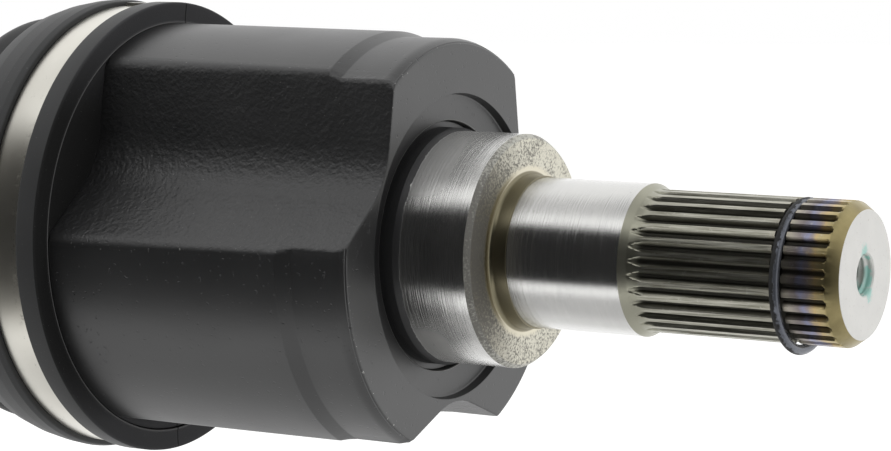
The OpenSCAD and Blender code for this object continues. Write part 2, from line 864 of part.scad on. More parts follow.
// The forged bell, with its shoulder and stub turned in one piece
bell_edge = 0.6;
bell_seat_len = 15.5;
shoulder_len = 3.6;
shoulder_edge = 0.8;
dome_start = 5;
dome_len = 15;
dome_steps = 5;
wheel_fillet = 1.4;
thread_relief = 1;
thread_edge = 1.5;
centre_r = 3;
centre_len = 5;
mouth_flare_h = 6.1;
mouth_flare_drop = 3.9;
mouth_flare_len = 6;
function dome_point(t) = [shoulder_r + bell_edge +
    (bell_r - shoulder_r - bell_edge) * cos(t),
    dome_start - bell_back + dome_len * (1 - sin(t))];
module bell_blank() {
    turned(concat([[0, bell_mouth], [bell_seat_r - bell_edge, bell_mouth],
            [bell_seat_r, bell_mouth - bell_edge],
            [bell_seat_r, bell_mouth - bell_seat_len],
            [bell_r, bell_mouth - bell_seat_len - 0.5]],
        [for (i = [0:dome_steps]) dome_point(90 * i / dome_steps)],
        [[shoulder_r, shoulder_len - bell_back],
            [shoulder_r, shoulder_edge - bell_back],
            [shoulder_r - shoulder_edge, -bell_back],
            [wheel_journal_r + wheel_fillet, -bell_back],
            [wheel_journal_r + wheel_fillet * 0.3, -bell_back - wheel_fillet * 0.3],
            [wheel_journal_r, -bell_back - wheel_fillet],
            [wheel_journal_r, -bell_back - wheel_journal_len],
            [wheel_spline_r, x_wheel_spline],
            [wheel_spline_r, x_thread + shoulder_edge],
            [wheel_spline_r - shoulder_edge, x_thread],
            [thread_r - thread_relief, x_thread],
            [thread_r - thread_relief, x_thread - thread_relief],
            [thread_r, x_thread - 2 * thread_relief],
            [thread_r, x_thread_end + thread_edge],
            [thread_r - thread_edge, x_thread_end], [0, x_thread_end]]));
}

module outer_race() {
    color([0.3, 0.3, 0.31])
        at_ball_joint()
            difference() {
                bell_blank();
                rotate([0, 90, 0])
                    sphere(bell_in_r, $fn = round_fn);
                turned([[0, bell_mouth + 1], [bell_in_r + mouth_flare_h, bell_mouth + 1],
                    [bell_in_r - mouth_flare_drop, bell_mouth - mouth_flare_len],
                    [0, bell_mouth - mouth_flare_len]]);
                ball_tracks(48, 132);
                mirror([1, 0, 0])
                    spline_grooves(wheel_spline_r, tooth_depth, wheel_teeth,
                        -x_wheel_spline + 1, -x_thread, spline_run_out);
                turned([[0, x_thread_end + centre_len], [centre_r, x_thread_end],
                    [centre_r, x_thread_end - 1], [0, x_thread_end - 1]]);
            }
}

// The wheel boot's large end grips the bell behind its mouth
bell_cuff_t = 3;
bell_cuff_r = bell_seat_r + bell_cuff_t;
bell_cuff_len = 15;
cuff_rim_h = 1;
first_dip_h = 4;
last_wheel_crest_h = 5;
bell_clamp_from_mouth = 7.8;
x_bell_clamp = x_bell_mouth - bell_clamp_from_mouth;
module outboard_boot() {
    crest_0 = bell_seat_r + first_crest_h;
    crest_1 = small_cuff_r + last_wheel_crest_h;
    dip_0 = bell_seat_r - first_dip_h;
    dip_1 = small_cuff_r;
    outside = bellows(0, x_out_bellows, x_small_out, ball_folds,
        crest_0, crest_1, dip_0, dip_1);
    inside = bellows(boot_t, x_out_bellows, x_small_out, ball_folds,
        crest_0, crest_1, dip_0, dip_1);
    bore = bell_seat_r + seat_gap / 2;
    crown_r = bell_cuff_r + cuff_rim_h;
    half_seat = clamp_w / 2 + clamp_side_gap;
    color([0.16, 0.16, 0.165])
        turned(concat(
            [[bore, x_bell_mouth - bell_cuff_len],
                [crown_r - rim_edge, x_bell_mouth - bell_cuff_len],
                [crown_r, x_bell_mouth - bell_cuff_len + rim_edge],
                [crown_r, x_bell_clamp - half_seat],
                [bell_cuff_r, x_bell_clamp - half_seat],
                [bell_cuff_r, x_bell_clamp + half_seat],
                [crown_r, x_bell_clamp + half_seat],
                [crown_r, x_bell_mouth - 1],
                [bell_cuff_r - rim_edge, x_bell_mouth + 1.6]],
            outside,
            small_end(x_small_out, 1),
            reversed([for (p = inside)
                if (p[1] < x_small_out && p[1] > x_bell_mouth + 1) p]),
            [[bore, x_bell_mouth + 0.6]]));
}

module outboard_large_clamp() {
    color([0.78, 0.77, 0.72])
        clamp(bell_cuff_r + seat_gap / 2, clamp_w, x_bell_clamp, clamp_turn);
}

module outboard_small_clamp() {
    color([0.78, 0.77, 0.72])
        clamp(small_cuff_r - seat_depth + soft_gap, small_clamp_w,
            x_small_out + small_seat_middle(), clamp_turn);
}

inboard_housing();
stub_snap_ring();
boot_adapter();
inboard_boot();
inboard_large_clamp();
inboard_small_clamp();
spider();
roller_1();
roller_2();
roller_3();
needles_1();
needles_2();
needles_3();
trunnion_washers();
trunnion_clips();
spider_clip();
spider_stop_ring();
bar_shaft();
inner_race();
race_clip();
ball_cage();
balls();
outer_race();
outboard_boot();
outboard_large_clamp();
outboard_small_clamp();
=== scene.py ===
import math

import bmesh
import bpy
import numpy as np
from mathutils import Matrix, Vector


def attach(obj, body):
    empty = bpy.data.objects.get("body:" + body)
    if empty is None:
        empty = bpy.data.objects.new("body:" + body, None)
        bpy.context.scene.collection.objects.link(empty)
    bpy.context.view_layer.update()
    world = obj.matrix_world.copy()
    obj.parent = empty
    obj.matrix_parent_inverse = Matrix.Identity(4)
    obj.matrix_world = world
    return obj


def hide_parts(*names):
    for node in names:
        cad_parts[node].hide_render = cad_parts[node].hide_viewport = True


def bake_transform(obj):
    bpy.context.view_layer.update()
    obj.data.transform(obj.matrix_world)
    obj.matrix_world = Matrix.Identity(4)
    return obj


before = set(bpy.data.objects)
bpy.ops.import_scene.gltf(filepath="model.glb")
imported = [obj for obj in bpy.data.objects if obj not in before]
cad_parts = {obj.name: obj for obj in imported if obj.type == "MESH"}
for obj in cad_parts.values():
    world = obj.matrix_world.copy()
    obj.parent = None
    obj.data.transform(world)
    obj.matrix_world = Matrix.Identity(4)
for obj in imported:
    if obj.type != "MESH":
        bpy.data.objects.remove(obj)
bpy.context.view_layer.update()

# The studio. The camera stands in front of the gearbox end, turned 31 degrees to
# the shaft and looking a little down. A white tent has a dark panel between two
# bright bands behind the camera, and a pale floor lies well below the part.
mm = 0.001
camera_place = Vector((296.126, -513.336, 70.511)) * mm
camera_turn = math.radians(30.952)
camera_down = math.radians(6.328)
camera_lens = 119.21
scene = bpy.context.scene
scene.view_settings.view_transform = "Standard"
camera = bpy.data.objects.new("camera", bpy.data.cameras.new("camera"))
scene.collection.objects.link(camera)
level = math.cos(camera_down)
back = Vector((math.sin(camera_turn) * level, -math.cos(camera_turn) * level,
    math.sin(camera_down)))
right = Vector((math.cos(camera_turn), math.sin(camera_turn), 0))
up = back.cross(right)
camera.matrix_world = Matrix.Translation(camera_place) @ Matrix(
    (right, up, back)).transposed().to_4x4()
camera.data.sensor_width = 36
camera.data.lens = camera_lens
camera.data.clip_start = 0.01
camera.data.clip_end = 60
scene.camera = camera


class Wire:
    """A node's socket. Sums of wires add Math nodes, or Vector Math for vectors."""

    def __init__(self, tree, socket=None):
        self.tree, self.socket = tree, socket

    def node(self, kind, settings=(), inputs=(), out=0):
        made = self.tree.nodes.new(kind)
        for name, value in dict(settings).items():
            if name == "stops":
                ramp = made.color_ramp
                while len(ramp.elements) < len(value):
                    ramp.elements.new(0.5)
                for element, (place, colour) in zip(ramp.elements, value):
                    element.position, element.color = place, (*colour, 1)
            else:
                setattr(made, name, value)
        for name, value in dict(inputs).items():
            if isinstance(value, Wire):
                self.tree.links.new(value.socket, made.inputs[name])
            else:
                made.inputs[name].default_value = value
        return Wire(self.tree, made.outputs[out])

    def other(self, out):
        return Wire(self.tree, self.socket.node.outputs[out])

    def parts(self):
        split = self.node("ShaderNodeSeparateXYZ", (), {0: self})
        return split, split.other(1), split.other(2)

    def sum(self, operation, a, b=0.0):
        if any(isinstance(v, Wire) and v.socket.type == "VECTOR" for v in (a, b)):
            if isinstance(b, (int, float)) or (isinstance(b, Wire)
                    and b.socket.type == "VALUE"):
                return self.node("ShaderNodeVectorMath", {"operation": "SCALE"},
                    {0: a, 3: b})
            return self.node("ShaderNodeVectorMath", {"operation": operation},
                {0: a, 1: b})
        return self.node("ShaderNodeMath", {"operation": operation}, {0: a, 1: b})

    def __add__(self, b):
        return self.sum("ADD", self, b)

    def __radd__(self, a):
        return self.sum("ADD", a, self)

    def __sub__(self, b):
        return self.sum("SUBTRACT", self, b)

    def __rsub__(self, a):
        return self.sum("SUBTRACT", a, self)

    def __mul__(self, b):
        return self.sum("MULTIPLY", self, b)

    def __rmul__(self, a):
        return self.sum("MULTIPLY", a, self)

    def __truediv__(self, b):
        return self.sum("DIVIDE", self, b)

    def of(self, operation):
        """A Math node with this as its one input, such as SQRT or COSINE."""
        return self.sum(operation, self)

    def __abs__(self):
        return self.of("ABSOLUTE")

    def least(self, b):
        return self.sum("MINIMUM", self, b)

    def most(self, b):
        return self.sum("MAXIMUM", self, b)

    def rise(self, low, high):
        """0 below low, 1 above high, and smooth between."""
        return self.node("ShaderNodeMapRange", {"interpolation_type": "SMOOTHSTEP"},
            {"Value": self, "From Min": low, "From Max": high}, "Result")

    def stretched(self, along, across):
        """A place with x multiplied by along, and y and z by across."""
        x, y, z = self.parts()
        return self.node("ShaderNodeCombineXYZ", (),
            {0: x * along, 1: y * across, 2: z * across})

    def noise(self, scale, detail=2.0, rough=0.5):
        return self.node("ShaderNodeTexNoise", (), {"Vector": self, "Scale": scale,
            "Detail": detail, "Roughness": rough})

    def mix(self, a, b):
        """Colour a where this is 0, and colour b where it is 1."""
        a, b = ((*v, 1) if isinstance(v, tuple) else v for v in (a, b))
        return self.node("ShaderNodeMix", {"data_type": "RGBA"},
            {0: self, 6: a, 7: b}, 2)


tent = bpy.data.worlds.new("tent")
tent.use_nodes = True
scene.world = tent
sky = Wire(tent.node_tree)
ray = sky.node("ShaderNodeLightPath", out="Is Camera Ray")
mirrored = ray.other("Is Glossy Ray").most(ray.other("Is Transmission Ray"))
depth, height = sky.node("ShaderNodeTexCoord", out="Generated").parts()[1:]
front = 1 - depth.rise(-0.62, -0.2)
dark_side = height.rise(-0.6, -0.5) * (1 - height.rise(0.6, 0.72)) * front
bright_side = height.rise(0.68, 0.76) * (1 - height.rise(0.86, 0.92)) * front
bright_side = bright_side.most((1 - height.rise(-0.62, -0.54))
    * height.rise(-0.78, -0.72) * front * 0.7)
ceiling = height.rise(0.86, 0.94)
low_down = 1 - height.rise(-0.78, -0.7)
far_side = depth.rise(-0.1, 0.3) * 0.22
reflected = (1 - ceiling * 0.42 + bright_side * 0.6 - low_down * 0.3 + far_side) * (
    1 - dark_side * 0.97)
around = 0.46
strength = ray + (1 - ray) * (mirrored * reflected + (1 - mirrored) * around)
background = tent.node_tree.nodes["Background"]
tent.node_tree.links.new(strength.socket, background.inputs["Strength"])
background.inputs["Color"].default_value = (1, 1, 1, 1)
tent.cycles.sampling_method = "NONE"

for name, place, size, power in (
        ("top_light", (-0.35, -0.25, 1.3), 1.6, 9.5),
        ("front_light", (-0.6, -1.5, 0.9), 1.2, 7.0),
        ("end_light", (1.5, 0.2, 0.5), 1.0, 4.5)):
    lamp = bpy.data.objects.new(name, bpy.data.lights.new(name, "AREA"))
    scene.collection.objects.link(lamp)
    lamp.data.size = size
    lamp.data.energy = power
    lamp.location = place
    aim = Vector((-0.15, 0, 0)) - Vector(place)
    lamp.rotation_euler = aim.to_track_quat("-Z", "Y").to_euler()
    lamp.visible_glossy = False

floor_height = -0.3
floor_reach = 7
floor_sides = 96
floor = bpy.data.objects.new("floor", bpy.data.meshes.new("floor"))
scene.collection.objects.link(floor)
floor.data.from_pydata([(floor_reach * math.cos(a), floor_reach * math.sin(a),
    floor_height) for a in np.linspace(0, 2 * math.pi, floor_sides, endpoint=False)],
    [], [tuple(range(floor_sides))])
paper = bpy.data.materials.new("paper")
paper.use_nodes = True
paper_shader = paper.node_tree.nodes["Principled BSDF"]
paper_shader.inputs["Base Color"].default_value = (0.8, 0.8, 0.79, 1)
paper_shader.inputs["Roughness"].default_value = 0.9
paper_shader.inputs["Specular IOR Level"].default_value = 0.1
paper_shader.inputs["Emission Color"].default_value = (1, 1, 1, 1)
sheet_ray = Wire(paper.node_tree).node("ShaderNodeLightPath", out="Is Camera Ray")
glow = sheet_ray.most(sheet_ray.other("Is Glossy Ray")).most(
    sheet_ray.other("Is Transmission Ray")) * 0.66
paper.node_tree.links.new(glow.socket, paper_shader.inputs["Emission Strength"])
paper.cycles.emission_sampling = "NONE"
floor.data.materials.append(paper)
floor.visible_glossy = False

# The tripod housing: a steel forging with three lobes, turned at both ends and
# dipped in black paint. Each lobe holds a roller track. The lobes and the end
# face are turned smooth, and the valleys keep the dimples of the forging.
lobe_turns = (90, 210, 330)
valley_turns = (30, 150, 270)
lobe_r = 43.9
seated_r = 43.4
band_r = 42.35
face_r = 41.45
valley_r = 32.1
valley_groove_r = 17
valley_half_w = 18.3
flank_slope = 21.8
edge_sweep = 38
edge_length = 3.32
bore_r = 26
track_half = 17.85
track_top_r = 37.2
x_mouth = -98.1
x_boot_edge = -79.5
x_draft = -78.5
x_band_curve = -11.9
x_face = -9.1
x_track_end = -19.1
draft_length, draft_drop = 54, 0.45
recess_r = 31.25
x_groove, groove_r = -11.6, 25.6
x_floor = -13.35


def rounded(corners, steps=4):
    """A turned outline as (x, radius), from (x, radius, rounding) corners."""
    path = []
    for i, (x, r, soft) in enumerate(corners):
        here = np.array([x, r], float)
        if soft == 0 or i in (0, len(corners) - 1):
            path.append(here)
            continue
        before = np.array(corners[i - 1][:2], float) - here
        after = np.array(corners[i + 1][:2], float) - here
        long_b, long_a = np.linalg.norm(before), np.linalg.norm(after)
        half = math.acos(np.clip(before @ after / long_b / long_a, -1, 1)) / 2
        reach = min(soft / math.tan(half), 0.48 * long_b, 0.48 * long_a)
        a, b = here + before / long_b * reach, here + after / long_a * reach
        for t in np.linspace(0, 1, steps + 1):
            path.append((1 - t) ** 2 * a + 2 * t * (1 - t) * here + t * t * b)
    return [tuple(p) for p in path]


def turning_tree(name, sizes, rule):
    """A tree that wraps a flat sheet of (x, turn, radius) round the shaft's axis."""
    tree = bpy.data.node_groups.new(name, "GeometryNodeTree")
    sockets = [("Sheet", "INPUT", "NodeSocketGeometry")]
    sockets += [(size, "INPUT", "NodeSocketFloat") for size in sizes]
    sockets += [("Finish", "INPUT", "NodeSocketMaterial"),
        ("Piece", "OUTPUT", "NodeSocketGeometry")]
    for label, way, kind in sockets:
        tree.interface.new_socket(label, in_out=way, socket_type=kind)
    start = Wire(tree)
    entry = start.node("NodeGroupInput")
    x, turn, radius = start.node("GeometryNodeInputPosition").parts()
    radius = rule(x, turn, radius, *[entry.other(size) for size in sizes])
    y = radius * turn.of("COSINE")
    z = radius * turn.of("SINE")
    place = start.node("ShaderNodeCombineXYZ", (), {0: x, 1: y, 2: z})
    piece = start.node("GeometryNodeSetPosition", (),
        {"Geometry": entry.other("Sheet"), "Position": place})
    piece = start.node("GeometryNodeMergeByDistance", (),
        {"Geometry": piece, "Distance": 0.002 * mm})
    piece = start.node("GeometryNodeRealizeInstances", (), {"Geometry": piece})
    piece = start.node("GeometryNodeSetMaterial", (),
        {"Geometry": piece, "Material": entry.other("Finish")})
    last = tree.nodes.new("NodeGroupOutput")
    tree.links.new(piece.socket, last.inputs["Piece"])
    return tree


def plain_turning(x, turn, radius):
    return radius


turned = turning_tree("turned", (), plain_turning)


def turn_piece(name, rings, turns, finish, tree=turned, sharp=32, marks=None, **sizes):
    """A closed piece from rings of (x, radius) in mm. marks are named point values."""
    turns = np.radians(np.append(turns, turns[0] + 360))
    count = len(turns)
    sheet = np.zeros((len(rings), count, 3))
    for row, (x, r) in zip(sheet, rings):
        radius = np.broadcast_to(np.asarray(r, float), (count - 1,)) \
            if np.ndim(r) else np.full(count - 1, float(r))
        row[:, 0] = x * mm
        row[:, 1] = turns
        row[:-1, 2] = radius * mm
        row[-1, 2] = radius[0] * mm
    i, j = np.meshgrid(np.arange(len(rings) - 1), np.arange(count - 1), indexing="ij")
    corner = (i * count + j).ravel()
    faces = np.stack([corner, corner + 1, corner + count + 1, corner + count], 1)
    mesh = bpy.data.meshes.new(name)
    mesh.from_pydata(sheet.reshape(-1, 3).tolist(), [], faces.tolist())
    for mark, values in (marks or {}).items():
        data = np.zeros((len(rings), count))
        for row, value in zip(data, values):
            row[:-1] = value
            row[-1] = row[0]
        attribute = mesh.attributes.new(mark, "FLOAT", "POINT")
        attribute.data.foreach_set("value", data.ravel().astype(np.float32))
    piece = bpy.data.objects.new(name, mesh)
    scene.collection.objects.link(piece)
    modifier = piece.modifiers.new("turning", "NODES")
    modifier.node_group = tree
    for item in tree.interface.items_tree:
        if item.in_out == "INPUT" and item.name in sizes:
            modifier[item.identifier] = float(sizes[item.name])
        if item.name == "Finish":
            modifier[item.identifier] = finish
    live = piece.evaluated_get(bpy.context.evaluated_depsgraph_get())
    made = bpy.data.meshes.new_from_object(live)
    piece.modifiers.remove(modifier)
    piece.data = made
    made.name = name
    bpy.data.meshes.remove(mesh)
    shell = bmesh.new()
    shell.from_mesh(made)
    bmesh.ops.recalc_face_normals(shell, faces=shell.faces)
    shell.to_mesh(made)
    shell.free()
    made.shade_smooth()
    made.set_sharp_from_angle(angle=math.radians(sharp))
    return piece


def new_finish(name, metallic=0.0, roughness=0.5):
    """A material, its shader, and the place on the part in mm."""
    material = bpy.data.materials.new(name)
    material.use_nodes = True
    shader = material.node_tree.nodes["Principled BSDF"]
    shader.inputs["Metallic"].default_value = metallic
    shader.inputs["Roughness"].default_value = roughness
    place = Wire(material.node_tree).node("ShaderNodeTexCoord", out="Object") * 1000.0
    return material, shader, place


def feed(shader, **links):
    """Links values to the shader's sockets. relief is a height in mm."""
    names = {"colour": "Base Color", "metallic": "Metallic", "roughness": "Roughness"}
    for name, value in links.items():
        if name == "relief":
            value = value.node("ShaderNodeBump", (), {"Strength": 1.0,
                "Distance": mm, "Height": value}, "Normal")
            value.tree.links.new(value.socket, shader.inputs["Normal"])
        else:
            value.tree.links.new(value.socket, shader.inputs[names[name]])


def forged_black_paint():
    material, shader, place = new_finish("forged_black_paint")
    shader.inputs["Specular IOR Level"].default_value = 1.0
    forged = place.node("ShaderNodeAttribute", {"attribute_name": "forged"}, out="Fac")
    rim = place.node("ShaderNodeAttribute", {"attribute_name": "rim"}, out="Fac")
    cloud = place.noise(0.09, 3.0)
    grain = place.noise(1.9, 2.0)
    peel = place.noise(0.95, 2.0, 0.45)
    dents = place.noise(0.28, 2.0)
    pits = 1 - place.noise(1.05, 1.0).rise(0.24, 0.31)
    chips = place.noise(1.5, 3.0, 0.7).rise(0.66, 0.7) * rim
    dust = place.noise(2.6, 1.0).rise(0.765, 0.8) * forged * 0.35
    x, y, z = place.parts()
    radius = (y * y + z * z).of("SQRT")
    # Painted highlight: a thin pale line round the outer edge of the recess groove.
    painted_lip_highlight = 1 - abs(radius - groove_r - 0.02).rise(0.06, 0.22)
    painted_lip_highlight = painted_lip_highlight * x.rise(x_groove - 0.4, x_groove - 0.1)
    painted_lip_highlight = painted_lip_highlight * (1 - x.rise(x_groove + 0.2, x_groove + 0.4))
    # This mask holds the real chips and dust, and the painted highlight at the groove's
    # edge.
    pale_mask = chips.most(dust).most(painted_lip_highlight * 0.55)
    paint = cloud.mix((0.005, 0.0051, 0.0054), (0.0095, 0.0096, 0.01))
    feed(shader, colour=pale_mask.mix(paint, (0.42, 0.42, 0.4)),
        roughness=0.36 + cloud * 0.08 + forged * 0.06 - pale_mask * 0.1,
        relief=peel * (0.006 + forged * 0.17) + grain * (0.003 + forged * 0.03)
        + dents * forged * 0.14 - pits * (1 - forged) * 0.04)
    return material


def valley_outline(turns):
    """Radius of the valleys' surface at each turn, far outside where there is none."""
    t = np.radians(np.linspace(0, flank_slope, 18))
    out = valley_r + valley_groove_r * (1 - np.cos(t))
    across = valley_groove_r * np.sin(t)
    flank = np.linspace(0, (valley_half_w - across[-1]) / math.cos(t[-1]), 14)[1:]
    out = np.append(out, out[-1] + flank * math.sin(t[-1]))
    across = np.append(across, across[-1] + flank * math.cos(t[-1]))
    heading = np.radians(flank_slope - edge_sweep * np.linspace(0, 1, 24))
    step = edge_length / 24
    out = np.append(out, out[-1] + np.cumsum(step * np.sin(heading)))
    across = np.append(across, across[-1] + np.cumsum(step * np.cos(heading)))
    angle, radius = np.degrees(np.arctan2(across, out)), np.hypot(across, out)
    off = np.min([np.abs((turns - v + 180) % 360 - 180) for v in valley_turns], 0)
    return np.interp(off, angle, radius) + np.maximum(off - angle[-1], 0) * 2.2


def track_outline(turns):
    """Radius inside the housing: the bore, and a slot for each roller."""
    off = np.min([np.abs((turns - a + 180) % 360 - 180) for a in lobe_turns], 0)
    slot = np.minimum(track_top_r, track_half / np.sin(np.radians(np.maximum(off, 1))))
    return np.where(off < 90, np.maximum(bore_r, slot), bore_r)


def softer_of(a, b, crispness=9.0):
    """The smaller of two radii, with the corner between them rounded over."""
    low, gap = np.minimum(a, b), np.abs(a - b)
    return low - np.log1p(np.exp(-crispness * gap)) / crispness


lobe_edge_turn = 29.4
track_corner_turns = (28.67, 43.35)
lobe_edges = [v + s * lobe_edge_turn for v in valley_turns for s in (-1, 1)]
track_corners = [a + s * c for a in lobe_turns for s in (-1, 1)
    for c in track_corner_turns]
housing_turns = np.unique(np.round(np.concatenate([np.arange(0, 360, 1.0),
    track_corners] + [e + np.arange(-3, 3.1, 0.25) for e in lobe_edges]) % 360, 2))
valleys = valley_outline(housing_turns)
tracks = track_outline(housing_turns)
lobe_path = rounded([(x_mouth, seated_r - 0.5, 0), (x_mouth + 0.5, seated_r, 0.3),
    (x_boot_edge - 0.2, seated_r, 0.1), (x_boot_edge, lobe_r, 0.1),
    (x_draft, lobe_r, 0)] + [(x, lobe_r - (x - x_draft) / draft_length * draft_drop, 0)
    for x in range(-74, -27, 4)] + [(-24.5, lobe_r - draft_drop, 1.2),
    (-21.5, band_r, 1.2), (-17, band_r, 0), (x_band_curve, band_r, 0)])
lobe_path += [(x_band_curve + (x_face - x_band_curve) * t, band_r - 0.95 * t ** 2.2)
    for t in (0.2, 0.35, 0.5, 0.63, 0.75, 0.85)]
face_round = 0.35
rings, forged, rim = [(x_track_end, 0)], [0], [0]


def add_ring(x, r, is_forged=0.0, is_rim=0.0):
    rings.append((x, r))
    forged.append(is_forged)
    rim.append(is_rim)


add_ring(x_track_end, tracks * 0.5)
add_ring(x_track_end, tracks)
for x in (-40, -60, -80):
    add_ring(x, tracks)
for x, flare in ((-89.1, 26), (-93.6, 28), (-97.9, 29.9), (x_mouth, 30.1)):
    add_ring(x, np.maximum(tracks, flare))
in_valley = 1 / (1 + np.exp(-3.0 * (lobe_r - 0.9 - valleys)))
for x, r in lobe_path:
    add_ring(x, softer_of(np.full_like(valleys, r), valleys), in_valley,
        0.35 * np.exp(-((valleys - r) / 0.5) ** 2))
face_edge = softer_of(np.full_like(valleys, face_r), valleys)
for turn in (0, 25, 50, 72, 90):
    inset = face_round * (1 - math.cos(math.radians(turn)))
    lift = face_round * (1 - math.sin(math.radians(turn)))
    add_ring(x_face - lift, face_edge - inset, in_valley * (turn < 60), 1.0)
face_out = face_edge - face_round
for share in (0.05, 0.15, 0.35, 0.6, 0.8, 0.95):
    add_ring(x_face, face_out + (recess_r + 0.2 - face_out) * share, 0.0,
        max(0.0, 1 - share * 9))
for x, r in rounded([(x_face, recess_r + 0.18, 0), (x_face, recess_r, 0.18),
        (x_groove + 0.5, recess_r - 0.25, 0.35), (x_groove, groove_r, 0.25),
        (x_floor + 0.05, groove_r - 0.15, 0.25), (x_floor, 24, 0), (x_floor, 0, 0)]):
    add_ring(x, r)
housing_paint = forged_black_paint()
housing = turn_piece("housing_forging", rings, housing_turns, housing_paint,
    marks={"forged": forged, "rim": rim}, sharp=40)
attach(housing, "housing")
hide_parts("inboard_housing")

# The gearbox stub, turned in one piece with the housing. The paint stops in a
# ragged line at its root. The seat and the seal journal are ground, the shoulder
# between them is left rough, and the spline's tip is tinted by hardening.
x_end = 80.5
x_paint_edge, x_shoulder, x_journal = -8.3, 7.5, 11.05
collar_r, seat_r, journal_r = 24.2, 23.6, 15.1
stub_teeth = 30
tooth_depth = 1.05
spline_r = 14
spline_start = 37.0
spline_stop = 77.5
run_out = 3.1
ring_groove = (66.95, 69.25)
ring_groove_r = 12.05
tip_r, hole_r = 12.33, 4.02


def cut_teeth(x, turn, radius, teeth, tip, depth, middle, start, run, stop):
    """Grooves between teeth, fading in at start from middle and out at stop."""
    share = turn * teeth / (2 * math.pi)
    off = abs(share.of("FRACT") - 0.5)
    reach = depth * ((abs(x - middle) - start) / run).rise(0.0, 1.0)
    reach = reach * (1 - ((x - stop) / run).rise(0.0, 0.32))
    cut = (reach - depth * (off - 0.09).most(0.0) / 0.24).most(0.0)
    return radius - (cut - (tip - radius).most(0.0)).most(0.0)


toothed = turning_tree("toothed", ("Teeth", "Tip", "Depth", "Middle", "Start",
    "Run-out", "Stop"), cut_teeth)
tooth_shares = (-0.5, -0.42, -0.355, -0.33, -0.3, -0.24, -0.17, -0.11, -0.085, 0,
    0.085, 0.11, 0.17, 0.24, 0.3, 0.33, 0.355, 0.42)


def tooth_turns(teeth):
    return np.array([360 * (k + 0.5 + s) / teeth for k in range(teeth)
        for s in tooth_shares])


def ground_steel():
    material, shader, place = new_finish("ground_steel", 1.0)
    x, y, z = place.parts()
    ring_grain = place.stretched(3.0, 0.012)
    lines = ring_grain.noise(1.0, 4.0, 0.7)
    fine = ring_grain.noise(3.1, 2.0, 0.6)
    smear = place.noise(0.16, 3.0)
    spots = place.noise(1.4, 2.0).rise(0.72, 0.76) * 0.35
    radius = (y * y + z * z).of("SQRT")
    past_edge = x - x_paint_edge - (place.noise(0.55, 4.0, 0.75) - 0.5) * 0.9
    # This mask is the bare steel past the ragged paint edge.
    pale_mask = past_edge.rise(0.0, 0.06).most((23.3 - radius).rise(0.0, 0.1))
    # Painted highlight: a thin near-white line just past the paint edge.
    painted_edge_highlight = (1 - abs(past_edge - 0.2).rise(0.06, 0.16)) * 0.5
    steel = smear.mix((0.56, 0.56, 0.55), (0.66, 0.655, 0.635))
    steel = (spots + (1 - lines) * 0.12).mix(steel, (0.3, 0.29, 0.27))
    frosted = abs(z + 1.0).rise(9.0, 16.0) * (1 - x.rise(-5.0, 6.0))
    colour = pale_mask.mix((0.02, 0.02, 0.021), steel)
    feed(shader, colour=painted_edge_highlight.mix(colour, (0.9, 0.9, 0.88)),
        metallic=pale_mask * (1 - frosted * 0.42),
        roughness=0.4 - pale_mask * (0.28 - lines * 0.04 - smear * 0.04 - frosted * 0.1),
        relief=lines * (0.06 + (1 - x.rise(-8.0, 2.0)) * 0.03) + fine * 0.006
        - pale_mask * 0.05)
    return material


def rough_shoulder_steel():
    material, shader, place = new_finish("rough_shoulder_steel", 1.0)
    x, y, z = place.parts()
    radius = (y * y + z * z).of("SQRT")
    speckle = place.noise(1.9, 4.0, 0.75)
    patches = place.noise(0.13, 2.0)
    lathe = place.node("ShaderNodeCombineXYZ", (), {0: x * 3.0, 1: radius * 2.0}).noise(
        1.0, 2.0)
    smooth_ring = 1 - (radius + speckle * 1.4).rise(17.4, 18.6)
    # Painted light and shade, mixed with random patches of tone: lighter towards +y and
    # towards top and bottom, darker on the -y side.
    painted_light_and_patches = (y * 0.034 + patches * 0.5 + abs(z) * 0.012).rise(-0.45, 0.5)
    # Dark speckles, denser where the painted shade is darker.
    dark = (speckle + patches * 0.35 - painted_light_and_patches * 0.13).rise(0.52, 0.68)
    dark = dark * (1 - smooth_ring)
    # Cream and gold each blend a shaded copy and a lit copy of the colour, by the
    # painted light.
    cream = painted_light_and_patches.mix((0.22, 0.205, 0.165), (0.66, 0.64, 0.55))
    gold = painted_light_and_patches.mix((0.3, 0.265, 0.18), (0.64, 0.6, 0.48))
    steel = smooth_ring.mix(cream, gold)
    outer = (radius + speckle * 0.6).rise(22.8, 23.2) * 0.7
    olive = (16.4 - radius + (lathe - 0.5) * 0.4).rise(0.0, 0.4)
    steel = olive.mix(outer.mix(steel, (0.42, 0.42, 0.39)), (0.2, 0.18, 0.12))
    feed(shader, colour=(dark * 0.75).mix(steel, (0.13, 0.125, 0.115)),
        metallic=1 - dark * 0.4, roughness=0.5 - smooth_ring * 0.2 + dark * 0.15,
        relief=speckle * (1 - smooth_ring) * -0.07 + lathe * 0.01)
    return material


